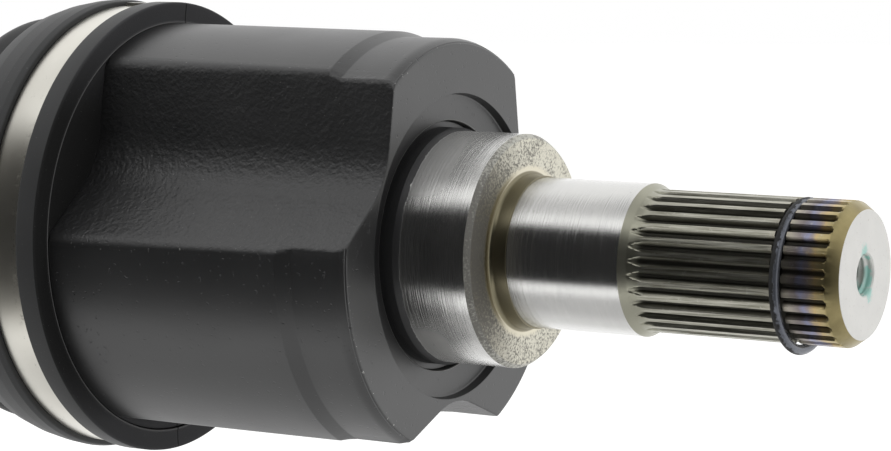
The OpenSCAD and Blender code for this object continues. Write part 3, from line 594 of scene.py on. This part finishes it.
def hardened_spline_steel():
    material, shader, place = new_finish("hardened_spline_steel", 1.0)
    x, y, z = place.parts()
    radius = (y * y + z * z).of("SQRT")
    streaks = place.stretched(0.1, 2.2).noise(1.0, 3.0, 0.65)
    scuffs = place.noise(0.7, 4.0, 0.7)
    wobble = place.noise(0.35, 2.0)
    tint = (x + (wobble - 0.5) * 4.0 - 66.0) / 12.0
    heat = tint.node("ShaderNodeValToRGB", {"stops": [(0.0, (0.42, 0.4, 0.33)),
        (0.32, (0.38, 0.35, 0.29)), (0.5, (0.24, 0.21, 0.21)),
        (0.62, (0.27, 0.28, 0.4)), (0.72, (0.32, 0.28, 0.29)),
        (0.82, (0.55, 0.42, 0.22)), (0.9, (0.5, 0.41, 0.22)),
        (1.0, (0.4, 0.33, 0.16))]}, {"Fac": tint})
    cone = x.rise(77.9, 78.3)
    # Painted shade: the floors of the grooves between the teeth are painted near black.
    root = 1 - radius.rise(13.0, 13.85)
    root = root * (1 - cone) * x.rise(37.2, 38.4)
    on_teeth = x.rise(38.4, 40.2)
    cone_shade = place.noise(0.3, 3.0).mix((0.2, 0.165, 0.08), (0.4, 0.34, 0.17))
    worn = scuffs.rise(0.56, 0.72) * 0.45
    tooth = streaks.rise(0.3, 0.7).mix((0.22, 0.215, 0.17), (0.52, 0.51, 0.44))
    tooth = on_teeth.mix((0.34, 0.335, 0.27), tooth)
    colour = x.rise(64.0, 69.0).mix(tooth, heat)
    colour = cone.mix((worn * on_teeth).mix(colour, (0.6, 0.59, 0.53)), cone_shade)
    feed(shader, colour=(root * 0.9).mix(colour, (0.03, 0.029, 0.024)),
        roughness=0.27 + streaks * 0.14 + root * 0.25,
        relief=streaks * on_teeth * (1 - cone) * 0.045 + scuffs * 0.006)
    return material


def bare_end_steel():
    material, shader, place = new_finish("bare_end_steel", 0.55)
    x, y, z = place.parts()
    radius = (y * y + z * z).of("SQRT")
    grain = place.noise(1.6, 4.0, 0.65)
    cloud = place.noise(0.22, 2.0)
    above = ((y + 0.6) * (y + 0.6) + (z - 3.9) * (z - 3.9) * 0.6).of("SQRT")
    below = ((y - 1.9) * (y - 1.9) * 1.2 + (z + 3.3) * (z + 3.3) * 0.5).of("SQRT")
    dab = 1 - (above.least(below) + (grain - 0.5) * 3.2).rise(0.5, 2.0)
    inside = (4.1 - radius).rise(0.0, 0.1) * place.noise(0.45, 2.0).rise(0.47, 0.6)
    dab = (dab * 0.7).most(inside * x.rise(78.2, 79.4) * 0.8)
    turned_lines = place.node("ShaderNodeCombineXYZ", (), {0: radius * 3.0}).noise(1.0)
    metal = cloud.mix((0.7, 0.695, 0.67), (0.8, 0.79, 0.765))
    metal = grain.rise(0.62, 0.72).mix(metal, (0.6, 0.58, 0.54))
    feed(shader, colour=dab.mix(metal, (0.3, 0.7, 0.62)),
        metallic=(1 - dab) * 0.55, roughness=0.5 + grain * 0.12,
        relief=turned_lines * 0.008 + grain * 0.012)
    return material


stub_path = rounded([(-15, 0, 0), (-15, collar_r - 0.1, 0), (-13.4, collar_r, 0),
    (-9.5, collar_r, 0.2), (-8.6, seat_r + 0.15, 0.12), (-8.35, seat_r, 0),
    (-3, seat_r, 0), (3, seat_r, 0), (6.4, seat_r, 0.3),
    (x_shoulder, seat_r - 0.8, 0.3), (x_shoulder, 20, 0), (x_shoulder, 17.5, 0),
    (x_shoulder, 15.6, 1.5), (x_journal - 0.05, journal_r + 0.25, 0),
    (x_journal, journal_r, 0), (24, journal_r, 0), (35.6, journal_r, 0.4),
    (36.9, 14.3, 0.3), (spline_start, 14.25, 0)])
stub_path += [(spline_start + run_out * t, max(spline_r, spline_r + 0.2 - t * 0.5))
    for t in (0.06, 0.14, 0.28, 0.42, 0.56, 0.7, 0.85, 1.0)]
stub_path += [(x, spline_r) for x in (46, 52, 58, 63)]
stub_path += rounded([(66, spline_r, 0), (ring_groove[0], spline_r, 0.12),
    (ring_groove[0], ring_groove_r, 0.15), (ring_groove[1], ring_groove_r, 0.15),
    (ring_groove[1], spline_r, 0.12)]
    + [(x, spline_r, 0) for x in (72, 75, 77.4, 77.6, 77.8, 78.05)]
    + [(78.3, 13.9, 0), (79.2, 13.25, 0), (x_end, tip_r, 0.25), (x_end, 10, 0),
    (x_end, 7, 0), (x_end, 5, 0), (x_end, 4.3, 0.12), (x_end - 0.35, hole_r, 0.1),
    (x_end - 22, hole_r, 0), (x_end - 24, 0, 0)], 3)
stub = turn_piece("gearbox_stub", stub_path, tooth_turns(stub_teeth), ground_steel(),
    toothed, 30, Teeth=stub_teeth, Tip=spline_r * mm, Depth=tooth_depth * mm,
    Middle=0, Start=spline_start * mm, Stop=spline_stop * mm,
    **{"Run-out": run_out * mm})
for finish in (rough_shoulder_steel(), hardened_spline_steel(), bare_end_steel()):
    stub.data.materials.append(finish)
spots = np.zeros(len(stub.data.polygons) * 3)
stub.data.polygons.foreach_get("center", spots)
spots = spots.reshape(-1, 3) / mm
around_axis = np.hypot(spots[:, 1], spots[:, 2])
seat_kind, shoulder_kind, spline_kind, end_kind = range(4)
kinds = np.full(len(spots), seat_kind)
kinds[(spots[:, 0] > 6.35) & (spots[:, 0] < x_journal - 0.01)] = shoulder_kind
kinds[spots[:, 0] > 35.55] = spline_kind
kinds[(spots[:, 0] > x_end - 0.1) | (around_axis < 4.5)] = end_kind
stub.data.polygons.foreach_set("material_index", kinds)
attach(stub, "housing")


def cut_thread(x, turn, radius, root, crest, pitch, start, stop):
    """A screw thread on the part of a sleeve that lies at the root's radius."""
    share = x / pitch - turn / (2 * math.pi)
    wave = abs(share.of("FRACT") - 0.5) * 2.0
    ends = ((x - start) / pitch).rise(0.0, 1.0) * ((stop - x) / pitch).rise(0.0, 1.0)
    at_root = 1 - (abs(radius - root) * 100000.0).least(1.0)
    return radius + (crest - root) * wave.rise(0.15, 0.85) * ends * at_root


threaded = turning_tree("threaded", ("Root", "Crest", "Pitch", "Start", "Stop"),
    cut_thread)


def thread_sleeve(name, root, buried, crest, pitch, start, stop, finish):
    steps = np.arange(start, stop, pitch / 7)
    path = [(start, buried)] + [(x, root) for x in steps] + [(stop, root),
        (stop, buried), (start, buried)]
    return turn_piece(name, path, np.arange(0, 360, 6.0), finish, threaded, 50,
        Root=root * mm, Crest=crest * mm, Pitch=pitch * mm, Start=start * mm,
        Stop=stop * mm)


hole_thread = thread_sleeve("stub_hole_thread", root=3.93, buried=4.15, crest=3.4,
    pitch=1.25, start=x_end - 20, stop=x_end - 0.5,
    finish=stub.data.materials[end_kind])
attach(hole_thread, "housing")


# The finishes of the pieces whose solids stay as they are: clips, rollers,
# needles and races. Their edges are softened by shading, not moved.
def soft_shading_tree():
    tree = bpy.data.node_groups.new("soft_shading", "GeometryNodeTree")
    tree.interface.new_socket("Solid", in_out="INPUT", socket_type="NodeSocketGeometry")
    tree.interface.new_socket("Piece", in_out="OUTPUT",
        socket_type="NodeSocketGeometry")
    start = Wire(tree)
    entry = start.node("NodeGroupInput")
    piece = start.node("GeometryNodeMergeByDistance", (),
        {"Geometry": entry, "Distance": 0.001 * mm})
    piece = start.node("GeometryNodeSetShadeSmooth", (), {"Geometry": piece})
    angle = start.node("GeometryNodeInputMeshEdgeAngle")
    creased = angle.sum("GREATER_THAN", angle, math.radians(28))
    piece = start.node("GeometryNodeSetShadeSmooth", {"domain": "EDGE"},
        {"Geometry": piece, "Selection": creased, "Shade Smooth": False})
    last = tree.nodes.new("NodeGroupOutput")
    tree.links.new(piece.socket, last.inputs["Piece"])
    return tree


soft_shading = soft_shading_tree()


def dress(node, finish):
    """Gives a solid that stays its finish and its smooth shading."""
    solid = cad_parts[node]
    for held in solid.material_slots:
        held.material = finish
    solid.modifiers.new("soft_shading", "NODES").node_group = soft_shading


def oiled_metal(name, dark, light, roughness, grain_size, depth, metallic=1.0):
    """Bare or coated metal with fine grain, smears of oil and small scratches."""
    material, shader, place = new_finish(name, metallic)
    smear = place.noise(0.2, 3.0)
    grain = place.noise(grain_size, 3.0, 0.6)
    nicks = place.noise(1.7, 2.0).rise(0.7, 0.76)
    colour = (grain * 0.5 + smear * 0.5).mix(dark, light)
    feed(shader, colour=nicks.mix(colour, light),
        roughness=roughness + smear * 0.12 + grain * 0.06 - nicks * 0.08,
        relief=grain * depth - nicks * 0.01)
    return material


spring_black = oiled_metal("spring_black", (0.02, 0.02, 0.021), (0.075, 0.075, 0.078),
    0.28, 3.0, 0.01, 0.75)


def snap_ring_steel():
    material, shader, place = new_finish("snap_ring_steel", 0.6)
    x, y, z = place.parts()
    ragged = place.noise(0.9, 4.0, 0.75)
    scale = 1 - (x - 68.15 - (ragged - 0.5) * 2.4 - abs(z) * 0.02).rise(0.0, 0.25)
    grain = place.noise(2.6, 3.0, 0.6)
    steel = grain.mix((0.07, 0.075, 0.088), (0.17, 0.18, 0.21))
    feed(shader, colour=scale.mix(steel, (0.012, 0.012, 0.012)),
        metallic=0.6 - scale * 0.6, roughness=0.2 + scale * 0.5 + grain * 0.06,
        relief=scale * (ragged * 0.12 + grain * 0.05))
    return material


dress("stub_snap_ring", snap_ring_steel())
for node in ("trunnion_clips", "spider_clip", "spider_stop_ring", "race_clip"):
    dress(node, spring_black)

# The boot adapter: a moulded ring of harder rubber that fills the valleys, so
# that a round boot can seal on a three-lobed housing.
x_front = -79.6
x_adapter_back, x_adapter_face = -96.6, -79.9
adapter_r = 43.8


def moulded_rubber(name, dark, light, roughness, relief_mm):
    """Matt black rubber with the fine sand texture of its mould."""
    material, shader, place = new_finish(name)
    shader.inputs["Specular IOR Level"].default_value = 0.3
    x, y, z = place.parts()
    sand = place.noise(2.6, 3.0, 0.6)
    bloom = place.noise(0.07, 3.0)
    specks = place.noise(2.1, 1.0).rise(0.74, 0.78)
    face = x.rise(x_front - 0.5, x_front - 0.35)
    # The mould seam on the rim face: a real shallow groove, with its shade painted near
    # black.
    seam_painted_shade = (1 - abs(y - z.most(0.0) * 0.096).rise(0.08, 0.32)) * face
    radius = (y * y + z * z).of("SQRT")
    # Painted highlight: a thin pale line along the inner edge of the rim face.
    painted_lip_highlight = (1 - abs(radius - 44.1).rise(0.08, 0.22)) * face
    colour = (bloom * 0.7 + sand * 0.3).mix(dark, light)
    # The rim face's own near-black tone, painted lighter towards top and bottom, where
    # more light falls.
    face_tone_and_painted_light = sand.mix((0.005, 0.005, 0.005), (0.011, 0.011, 0.011))
    face_tone_and_painted_light = abs(z).rise(24.0, 44.0).mix(face_tone_and_painted_light, (0.042, 0.042, 0.0445))
    colour = face.mix(colour, face_tone_and_painted_light)
    colour = (specks * 0.35).mix(colour, (0.13, 0.13, 0.13))
    colour = (painted_lip_highlight * 0.6).mix(colour, (0.2, 0.2, 0.2))
    feed(shader, colour=(seam_painted_shade * 0.9).mix(colour, (0.002, 0.002, 0.002)),
        roughness=roughness + bloom * 0.1 + sand * 0.06 + face * 0.3,
        relief=sand * (face * 0.03 + relief_mm) + specks * 0.01 - seam_painted_shade * 0.2)
    return material


adapter_rubber = moulded_rubber("adapter_rubber", (0.013, 0.013, 0.0135),
    (0.028, 0.0285, 0.029), 0.46, 0.05)
adapter_in = np.minimum(valleys + 0.1, seated_r + 0.1)
adapter_rings = [(x_adapter_back, adapter_in), (x_adapter_back, adapter_r),
    (x_adapter_face - 0.4, adapter_r), (x_adapter_face - 0.15, adapter_r - 0.08),
    (x_adapter_face - 0.02, adapter_r - 0.25), (x_adapter_face, adapter_r - 0.28)]
adapter_rings += [(x_adapter_face, adapter_in + (seated_r + 0.1 - adapter_in) * s)
    for s in (0.8, 0.5, 0.2)]
adapter_rings += [(x_adapter_face - 0.1, adapter_in), (x_adapter_back, adapter_in)]
adapter = turn_piece("boot_adapter_ring", adapter_rings, housing_turns,
    adapter_rubber, sharp=40)
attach(adapter, "housing")
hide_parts("boot_adapter")

# The gearbox boot: blow-moulded rubber with a rim on each side of its clamp and
# five folds that shrink towards the bar. It is cut in two at its second crest.
boot_wall = 2.6
grip_r, clamp_seat_r, rim_r = 43.86, 46.5, 48.4
x_seat_front, x_seat_back = -84.6, -92.6
cuff_r, cuff_seat_r, bar_grip_r = 15.0, 14.4, 12.8


def fold_boot(x, turn, radius, start, stop, folds, first, last):
    """Adds the folds' wave between start and stop."""
    share = (x - start) / (stop - start)
    inside = share.sum("GREATER_THAN", share, 0.0) * share.sum("LESS_THAN", share, 1.0)
    height = first + (last - first) * share
    turns = (share * folds - 0.25) * (2 * math.pi)
    return radius + height * 0.5 * turns.of("SINE") * inside


bellows = turning_tree("bellows", ("Start", "Stop", "Folds", "First fold",
    "Last fold"), fold_boot)


def boot_rows(start, stop, first_mid, last_mid, spacing=0.5):
    """The bellows' mean line as (x, radius)."""
    count = int(abs(stop - start) / spacing)
    return [(start + (stop - start) * i / count,
        first_mid + (last_mid - first_mid) * i / count) for i in range(1, count)]


def small_cuff(x_folds, x_clamp, way):
    """A boot's end on the bar, from its folds to its edge, with a clamp's seat."""
    return rounded([(x_folds, cuff_r, 0)] + [(x_clamp + way * d, r, soft)
        for d, r, soft in ((-3.6, cuff_r, 0.3), (-3.2, cuff_seat_r, 0.2),
        (3.2, cuff_seat_r, 0.2), (3.4, cuff_r, 0.3), (7.6, cuff_r, 0.6),
        (7.6, bar_grip_r, 0), (-5.2, bar_grip_r, 0))])


boot_rubber = moulded_rubber("boot_rubber", (0.021, 0.0215, 0.022),
    (0.042, 0.0425, 0.043), 0.42, 0.02)
boot_turns = np.arange(0, 360, 1.5)
folds_in, folds_out, boot_cut = -106.6, -173.8, -126.76
mid_in, mid_out = 44.85, 18.0
rows = boot_rows(folds_in, folds_out, mid_in, mid_out)
near_cut = [(boot_cut + d, mid_in + (mid_out - mid_in)
    * (boot_cut + d - folds_in) / (folds_out - folds_in)) for d in (0.05, 0, -0.05)]
first_rows = [p for p in rows if p[0] > boot_cut + 0.1] + near_cut[:2]
second_rows = near_cut[1:] + [p for p in rows if p[0] < boot_cut - 0.1]
front_rim = rounded([(-84, grip_r, 0), (x_front - 0.3, grip_r + 0.07, 0),
    (x_front - 0.02, grip_r + 0.09, 0.08), (x_front, 44.25, 0.08),
    (x_front - 0.2, 44.5, 0.1), (x_front - 0.15, clamp_seat_r, 0),
    (x_front, rim_r, 0.6), (x_seat_front, rim_r, 0.4),
    (x_seat_front, clamp_seat_r, 0.2), (x_seat_back, clamp_seat_r, 0.2),
    (x_seat_back, rim_r, 0.4), (-94.1, 48.75, 0.8), (-97, 48.5, 0.8), (-101, 47.8, 1),
    (-105.2, 46.5, 0.9), (-106, 44.6, 0.5), (folds_in, 42.9, 0.5), (-107, 43.0, 0)])
sizes = {"Start": folds_in * mm, "Stop": folds_out * mm, "Folds": 5,
    "First fold": 3.9 * mm, "Last fold": 6.0 * mm}
inner = [(x, r - boot_wall) for x, r in first_rows if x < -107]
first_half = turn_piece("gearbox_boot_front",
    front_rim[:-1] + first_rows + inner[::-1] + [(-106.3, 40.4), (-104.8, 43.4),
    (-103.6, 44.4), (-99.4, 45.2), (-98.5, grip_r), (-84, grip_r)], boot_turns,
    boot_rubber, bellows, 40, **sizes)
x_small_clamp = -180.2
cuff = small_cuff(folds_out, x_small_clamp, -1)
inner = [(x, r - boot_wall) for x, r in second_rows if x > -172.5]
second_half = turn_piece("gearbox_boot_back",
    second_rows + cuff + inner[::-1] + second_rows[:1], boot_turns, boot_rubber,
    bellows, 40, **sizes)
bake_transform(first_half)
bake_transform(second_half)
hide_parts("inboard_boot")

# The clamps: bands of brushed stainless strip. One end laps over the other, and
# a crimped ear on the far side pulls each of them tight.
ear_turn = 30
strip_thickness = 0.8


def brushed_strip_steel():
    material, shader, place = new_finish("brushed_strip_steel", 1.0)
    x, y, z = place.parts()
    brush = place.stretched(6.0, 0.25).noise(1.0, 4.0, 0.7)
    smear = place.noise(0.09, 3.0)
    dirt = place.noise(0.7, 4.0, 0.7).rise(0.62, 0.75) * place.noise(0.1, 1.0).rise(
        0.5, 0.62)
    steel = smear.mix((0.62, 0.6, 0.54), (0.74, 0.725, 0.665))
    # Darker brown towards -y near mid height; the edge's dirt spots lie only in this
    # band.
    darker_side_band = (1 - abs(z - 3.0).rise(14.0, 24.0)) * (0.0 - y).rise(30.0, 38.0)
    edge_dirt = place.noise(0.8, 3.0, 0.7).rise(0.5, 0.62) * x.rise(-87.5, -84.9)
    dirt = dirt.most(edge_dirt * darker_side_band)
    steel = (darker_side_band * 0.5).mix(steel, (0.3, 0.28, 0.23))
    feed(shader, colour=(dirt * 0.7).mix(steel, (0.16, 0.15, 0.12)),
        roughness=0.24 + brush * 0.14 + dirt * 0.2,
        relief=brush * 0.006 - dirt * 0.01)
    return material


def bent_strip(shell, path, thickness, x_low, x_high):
    """Adds a strip of metal to a mesh. path is its middle line as (y, z) in mm."""
    path = np.array(path)
    ahead = np.gradient(path, axis=0)
    ahead /= np.linalg.norm(ahead, axis=1)[:, None]
    out = np.stack([ahead[:, 1], -ahead[:, 0]], 1) * thickness / 2
    bevel = thickness * 0.3
    ring = [(x_low, 1 - 0.6, 1), (x_low + bevel, 1, 1), (x_high - bevel, 1, 1),
        (x_high, 1 - 0.6, 1), (x_high, 1 - 0.6, -1), (x_high - bevel, 1, -1),
        (x_low + bevel, 1, -1), (x_low, 1 - 0.6, -1)]
    rows = [[shell.verts.new((x * mm, (p[0] + o[0] * k * s) * mm,
        (p[1] + o[1] * k * s) * mm)) for x, k, s in ring] for p, o in zip(path, out)]
    for a, b in zip(rows, rows[1:]):
        for i in range(8):
            j = (i + 1) % 8
            shell.faces.new((a[i], a[j], b[j], b[i]))
    shell.faces.new(rows[0])
    shell.faces.new(rows[-1][::-1])


def clamp_band(name, r_in, x_middle, width, thickness, finish):
    half = width / 2
    soft = thickness * 0.35
    band = turn_piece(name, rounded([(x_middle, r_in, 0), (x_middle - half, r_in, soft),
        (x_middle - half, r_in + thickness, soft),
        (x_middle + half, r_in + thickness, soft),
        (x_middle + half, r_in, soft), (x_middle, r_in, 0)]),
        np.arange(0, 360, 1.5), finish, sharp=50)
    shell = bmesh.new()
    shell.from_mesh(band.data)
    lap = r_in + thickness * 1.45
    turns = np.radians(np.linspace(ear_turn + 1, ear_turn + 61, 46))
    bent_strip(shell, [(lap * math.cos(t), lap * math.sin(t)) for t in turns],
        thickness * 0.9, x_middle - half + 0.8, x_middle + half - 0.8)
    ear_root, ear_top = r_in + thickness, r_in + thickness * 1.5 + 4.6
    ear = rounded([(-7.5, ear_root - 0.1, 0), (-4.6, ear_root, 0.9),
        (-3.2, ear_top, 1.1), (3.2, ear_top, 1.1), (4.6, ear_root, 0.9),
        (7.5, ear_root - 0.1, 0)])
    swing = math.radians(ear_turn - 90)
    bent_strip(shell, [(a * math.cos(swing) - b * math.sin(swing),
        a * math.sin(swing) + b * math.cos(swing)) for a, b in ear],
        thickness * 0.9, x_middle - half + 0.6, x_middle + half - 0.6)
    bmesh.ops.recalc_face_normals(shell, faces=shell.faces)
    shell.to_mesh(band.data)
    shell.free()
    band.data.shade_smooth()
    band.data.set_sharp_from_angle(angle=math.radians(40))
    return band


strip_steel = brushed_strip_steel()
for name, r_in, x_middle, width, body in (
        ("inboard_large_clamp", clamp_seat_r + 0.1, -88.6, 7.8, "housing"),
        ("inboard_small_clamp", 14.7, x_small_clamp, 6, "shaft"),
        ("outboard_large_clamp", 43.05, -439.0156, 7.6, "bell"),
        ("outboard_small_clamp", 14.7, -358.8156, 6, "shaft")):
    band = clamp_band(name.replace("clamp", "band"), r_in, x_middle, width,
        strip_thickness, strip_steel)
    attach(band, body)
    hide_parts(name)

# The tripod inside the housing: a forged spider, ground trunnions, three barrel
# rollers on needles, and the washers that keep them in. All of it runs in grease.
bearing_steel = oiled_metal("bearing_steel", (0.5, 0.5, 0.5), (0.74, 0.74, 0.73), 0.16,
    4.0, 0.002)
race_steel = oiled_metal("race_steel", (0.26, 0.25, 0.24), (0.46, 0.45, 0.43), 0.3,
    2.4, 0.008)
for node in ("roller_1", "roller_2", "roller_3", "needles_1", "needles_2",
        "needles_3", "trunnion_washers", "balls"):
    dress(node, bearing_steel)
for node in ("spider", "inner_race", "ball_cage"):
    dress(node, race_steel)

# The bar: a solid steel shaft, thinner beside the joints and thickest in the
# middle, splined at both ends and painted black between the boots.
x_tripod, x_ball = -60.2156, -448.2156
bar_r, bar_seat_r, bar_spline_r = 14, 12.5, 12
bar_waist_r, bar_end_r = 11.4, 10.8
bar_teeth = 26
bar_middle = (x_tripod + x_ball - 3) / 2
past_the_end = 1


def bar_paint():
    material, shader, place = new_finish("bar_paint")
    lines = place.stretched(1.4, 0.2).noise(1.0, 3.0)
    cloud = place.noise(0.05, 3.0)
    runs = place.noise(0.4, 2.0)
    chips = place.noise(0.9, 4.0, 0.7).rise(0.73, 0.76)
    paint = cloud.mix((0.017, 0.017, 0.018), (0.028, 0.028, 0.029))
    feed(shader, colour=chips.mix(paint, (0.2, 0.195, 0.185)),
        roughness=0.34 + cloud * 0.12, metallic=chips * 0.8,
        relief=lines * 0.01 + runs * 0.02 - chips * 0.03)
    return material


bar_path = rounded([(x_ball - 15.5, 0, 0), (x_ball - 15.5, bar_end_r, 0.3),
    (x_ball - 14.3, bar_spline_r, 0.3)]
    + [(x_ball + d, bar_spline_r, 0) for d in (-4, 8, 12.9, 14.3)]
    + [(x_ball + 15, bar_spline_r, 0.6), (x_ball + 17, bar_waist_r, 1),
    (-368.2, bar_waist_r, 1), (-366.2, bar_seat_r, 1), (-349.2, bar_seat_r, 1.5),
    (-345.2, bar_r, 3), (-320, bar_r, 0), (-280, bar_r, 0), (-240, bar_r, 0),
    (-193.8, bar_r, 3), (-189.8, bar_seat_r, 1.5), (-172.8, bar_seat_r, 1),
    (-170.8, bar_waist_r, 1), (x_tripod - 18, bar_waist_r, 1),
    (x_tripod - 16, bar_spline_r, 0.6)]
    + [(x_tripod + d, bar_spline_r, 0) for d in (-15, -13.4, 0)]
    + [(x_tripod + 14.9, bar_spline_r, 0.3), (x_tripod + 16.1, bar_end_r, 0.3),
    (x_tripod + 16.1, 0, 0)])
bar = turn_piece("bar_turned", bar_path, tooth_turns(bar_teeth), bar_paint(), toothed,
    30, Teeth=bar_teeth, Tip=bar_spline_r * mm, Depth=tooth_depth * mm,
    Middle=bar_middle * mm, Start=(bar_middle - x_ball - 15) * mm, Stop=past_the_end,
    **{"Run-out": 1.6 * mm})
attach(bar, "shaft")
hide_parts("bar_shaft")

# The bell of the ball joint, forged and turned in one piece with the wheel stub.
# Six arcs for the balls run inside it. The shoulder bears on the wheel hub.
wheel_teeth = 28
bell_mouth, bell_in_r, bell_seat_r, bell_r = 17, 29.9, 40, 42
dome_end, dome_length, dome_end_r = -36, 15, 29.6
hub_face, hub_r, hub_journal_r = -41, 29, 15.5
wheel_spline_r, nut_root_r = 14, 10.9
x_wheel_spline, x_nut_thread, x_wheel_end = -50.3, -91.5, -117
flare_start, flare_drop = 11, 3.9
ball_turns = np.arange(90, 450, 60)
ball_pitch_r, ball_track_r = 27.5, 9.35


def ball_track_radius(x, turns):
    """Largest radius that the balls' arcs reach at a distance x from the centre."""
    off = np.radians(np.min([np.abs((turns - a + 180) % 360 - 180)
        for a in ball_turns], 0))
    best = np.zeros_like(off)
    for r in np.arange(18, 38.2, 0.1):
        arc_off = np.hypot(np.hypot(x, r * np.cos(off)) - ball_pitch_r,
            r * np.sin(off))
        best = np.where(arc_off <= ball_track_r, r, best)
    return best


def phosphated_bell_steel():
    material, shader, place = new_finish("phosphated_bell_steel", 0.85)
    x, y, z = place.parts()
    radius = (y * y + z * z).of("SQRT")
    lathe = place.stretched(4.0, 0.15).noise(1.0, 3.0, 0.65)
    scale = place.noise(0.55, 4.0, 0.6)
    oxide = place.noise(0.1, 3.0)
    cut = 1 - x.rise(-489.0, -488.2)
    skin = oxide.mix((0.05, 0.05, 0.052), (0.095, 0.094, 0.092))
    bright = lathe.mix((0.4, 0.39, 0.37), (0.58, 0.575, 0.55))
    # Painted shade: the floors of the wheel spline's grooves are painted near black.
    root = (1 - radius.rise(13.0, 13.7)) * cut * x.rise(-541.0, -539.0)
    feed(shader, colour=(root * 0.8).mix(cut.mix(skin, bright), (0.05, 0.05, 0.048)),
        roughness=0.42 - cut * 0.14 + scale * 0.12,
        relief=lathe * 0.008 + scale * (1 - cut) * 0.05)
    return material


bell_turns = tooth_turns(wheel_teeth)
bell_out = rounded([(bell_mouth - 0.6, 31.5, 0), (bell_mouth, 36.2, 0.3),
    (bell_mouth, bell_seat_r - 0.6, 0), (bell_mouth - 0.6, bell_seat_r, 0.3),
    (1.5, bell_seat_r, 0.3), (1, bell_r, 0.4), (-10, bell_r, 0),
    (dome_end + dome_length, bell_r, 0)], 3)
bell_out += [(dome_end + dome_length * (1 - math.sin(t)),
    dome_end_r + (bell_r - dome_end_r) * math.cos(t))
    for t in np.radians(np.arange(7.5, 89, 7.5))]
bell_out += rounded([(dome_end, dome_end_r, 0), (dome_end - 0.4, dome_end_r - 0.3, 0.3),
    (dome_end - 1.4, hub_r, 0.6), (hub_face + 0.8, hub_r, 0.3),
    (hub_face, hub_r - 0.8, 0.3), (hub_face, 22, 0), (hub_face, hub_journal_r + 1.4, 0),
    (hub_face - 0.4, hub_journal_r + 0.4, 0.3), (hub_face - 1.4, hub_journal_r, 0.4),
    (-48, hub_journal_r, 0.4), (x_wheel_spline + 0.8, wheel_spline_r + 0.1, 0.3),
    (x_wheel_spline, wheel_spline_r, 0)], 3)
bell_out += [(x_wheel_spline - 0.35 * i, wheel_spline_r) for i in range(1, 8)]
bell_out += rounded([(-60, wheel_spline_r, 0), (-75, wheel_spline_r, 0),
    (x_nut_thread + 0.8, wheel_spline_r, 0.2),
    (x_nut_thread, wheel_spline_r - 0.8, 0.2), (x_nut_thread, nut_root_r, 0.2),
    (x_wheel_end, nut_root_r, 0.3), (x_wheel_end, 3, 0.2),
    (x_wheel_end + 4.8, 0, 0)], 3)
bell_in = [(-bell_in_r, 0)]
for x in np.linspace(0.7 - bell_in_r, bell_mouth - 0.6, 30):
    cavity_r = math.sqrt(max(bell_in_r ** 2 - x * x, 4))
    if x > flare_start:
        cavity_r = max(cavity_r, bell_in_r - flare_drop + x - flare_start)
    bell_in.append((x, np.maximum(cavity_r, np.where(np.abs(x) < 26,
        ball_track_radius(x, bell_turns), 0))))
bell_rings = [(x_ball + x, r) for x, r in bell_in + bell_out[1:]]
bell = turn_piece("wheel_bell", bell_rings, bell_turns, phosphated_bell_steel(),
    toothed, 32, Teeth=wheel_teeth, Tip=wheel_spline_r * mm, Depth=tooth_depth * mm,
    Middle=-430 * mm, Start=68.6 * mm, Stop=past_the_end, **{"Run-out": 2.2 * mm})
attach(bell, "bell")
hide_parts("outer_race")
nut_thread = thread_sleeve("hub_nut_thread", root=11.0, buried=10.2, crest=11.9,
    pitch=1.5, start=x_ball - 116.4, stop=x_ball - 92.8,
    finish=bell.data.materials[0])
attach(nut_thread, "bell")

# The wheel boot, of the same rubber. It is gripped by the bell behind its mouth
# and by the bar.
wheel_folds_in, wheel_folds_out = -427.2156, -365.2156
x_cuff_edge, x_cuff_seat, x_cuff_rim = -446.2, -443.1, -435
cuff_in_r, wheel_seat_r, wheel_rim_r = 40.08, 43, 44
outer_rows = boot_rows(wheel_folds_in, wheel_folds_out, 38.75, 17.5)
inner_rows = [(x, r - boot_wall) for x, r in outer_rows if -426 < x < -366]
bell_cuff = rounded([(x_cuff_edge, cuff_in_r, 0), (x_cuff_edge, 43.6, 0.4),
    (x_cuff_edge + 0.4, wheel_rim_r, 0.3), (x_cuff_seat, wheel_rim_r, 0.4),
    (x_cuff_seat, wheel_seat_r, 0.2), (x_cuff_rim, wheel_seat_r, 0.2),
    (x_cuff_rim, wheel_rim_r, 0.4), (-432.2, wheel_rim_r, 0.8), (-429.6, 42.4, 1.5),
    (wheel_folds_in, 36, 1), (-426.9, 36.2, 0)])
bar_cuff = small_cuff(wheel_folds_out, -358.8, 1)
wheel_boot = turn_piece("wheel_boot", bell_cuff[:-1] + outer_rows + bar_cuff
    + inner_rows[::-1] + [(-430.6, 34.4), (-430.6, cuff_in_r),
    (x_cuff_edge, cuff_in_r)], boot_turns, boot_rubber, bellows, 40,
    Start=wheel_folds_in * mm, Stop=wheel_folds_out * mm, Folds=5,
    **{"First fold": 5.5 * mm, "Last fold": 5.0 * mm})
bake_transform(wheel_boot)
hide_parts("outboard_boot")
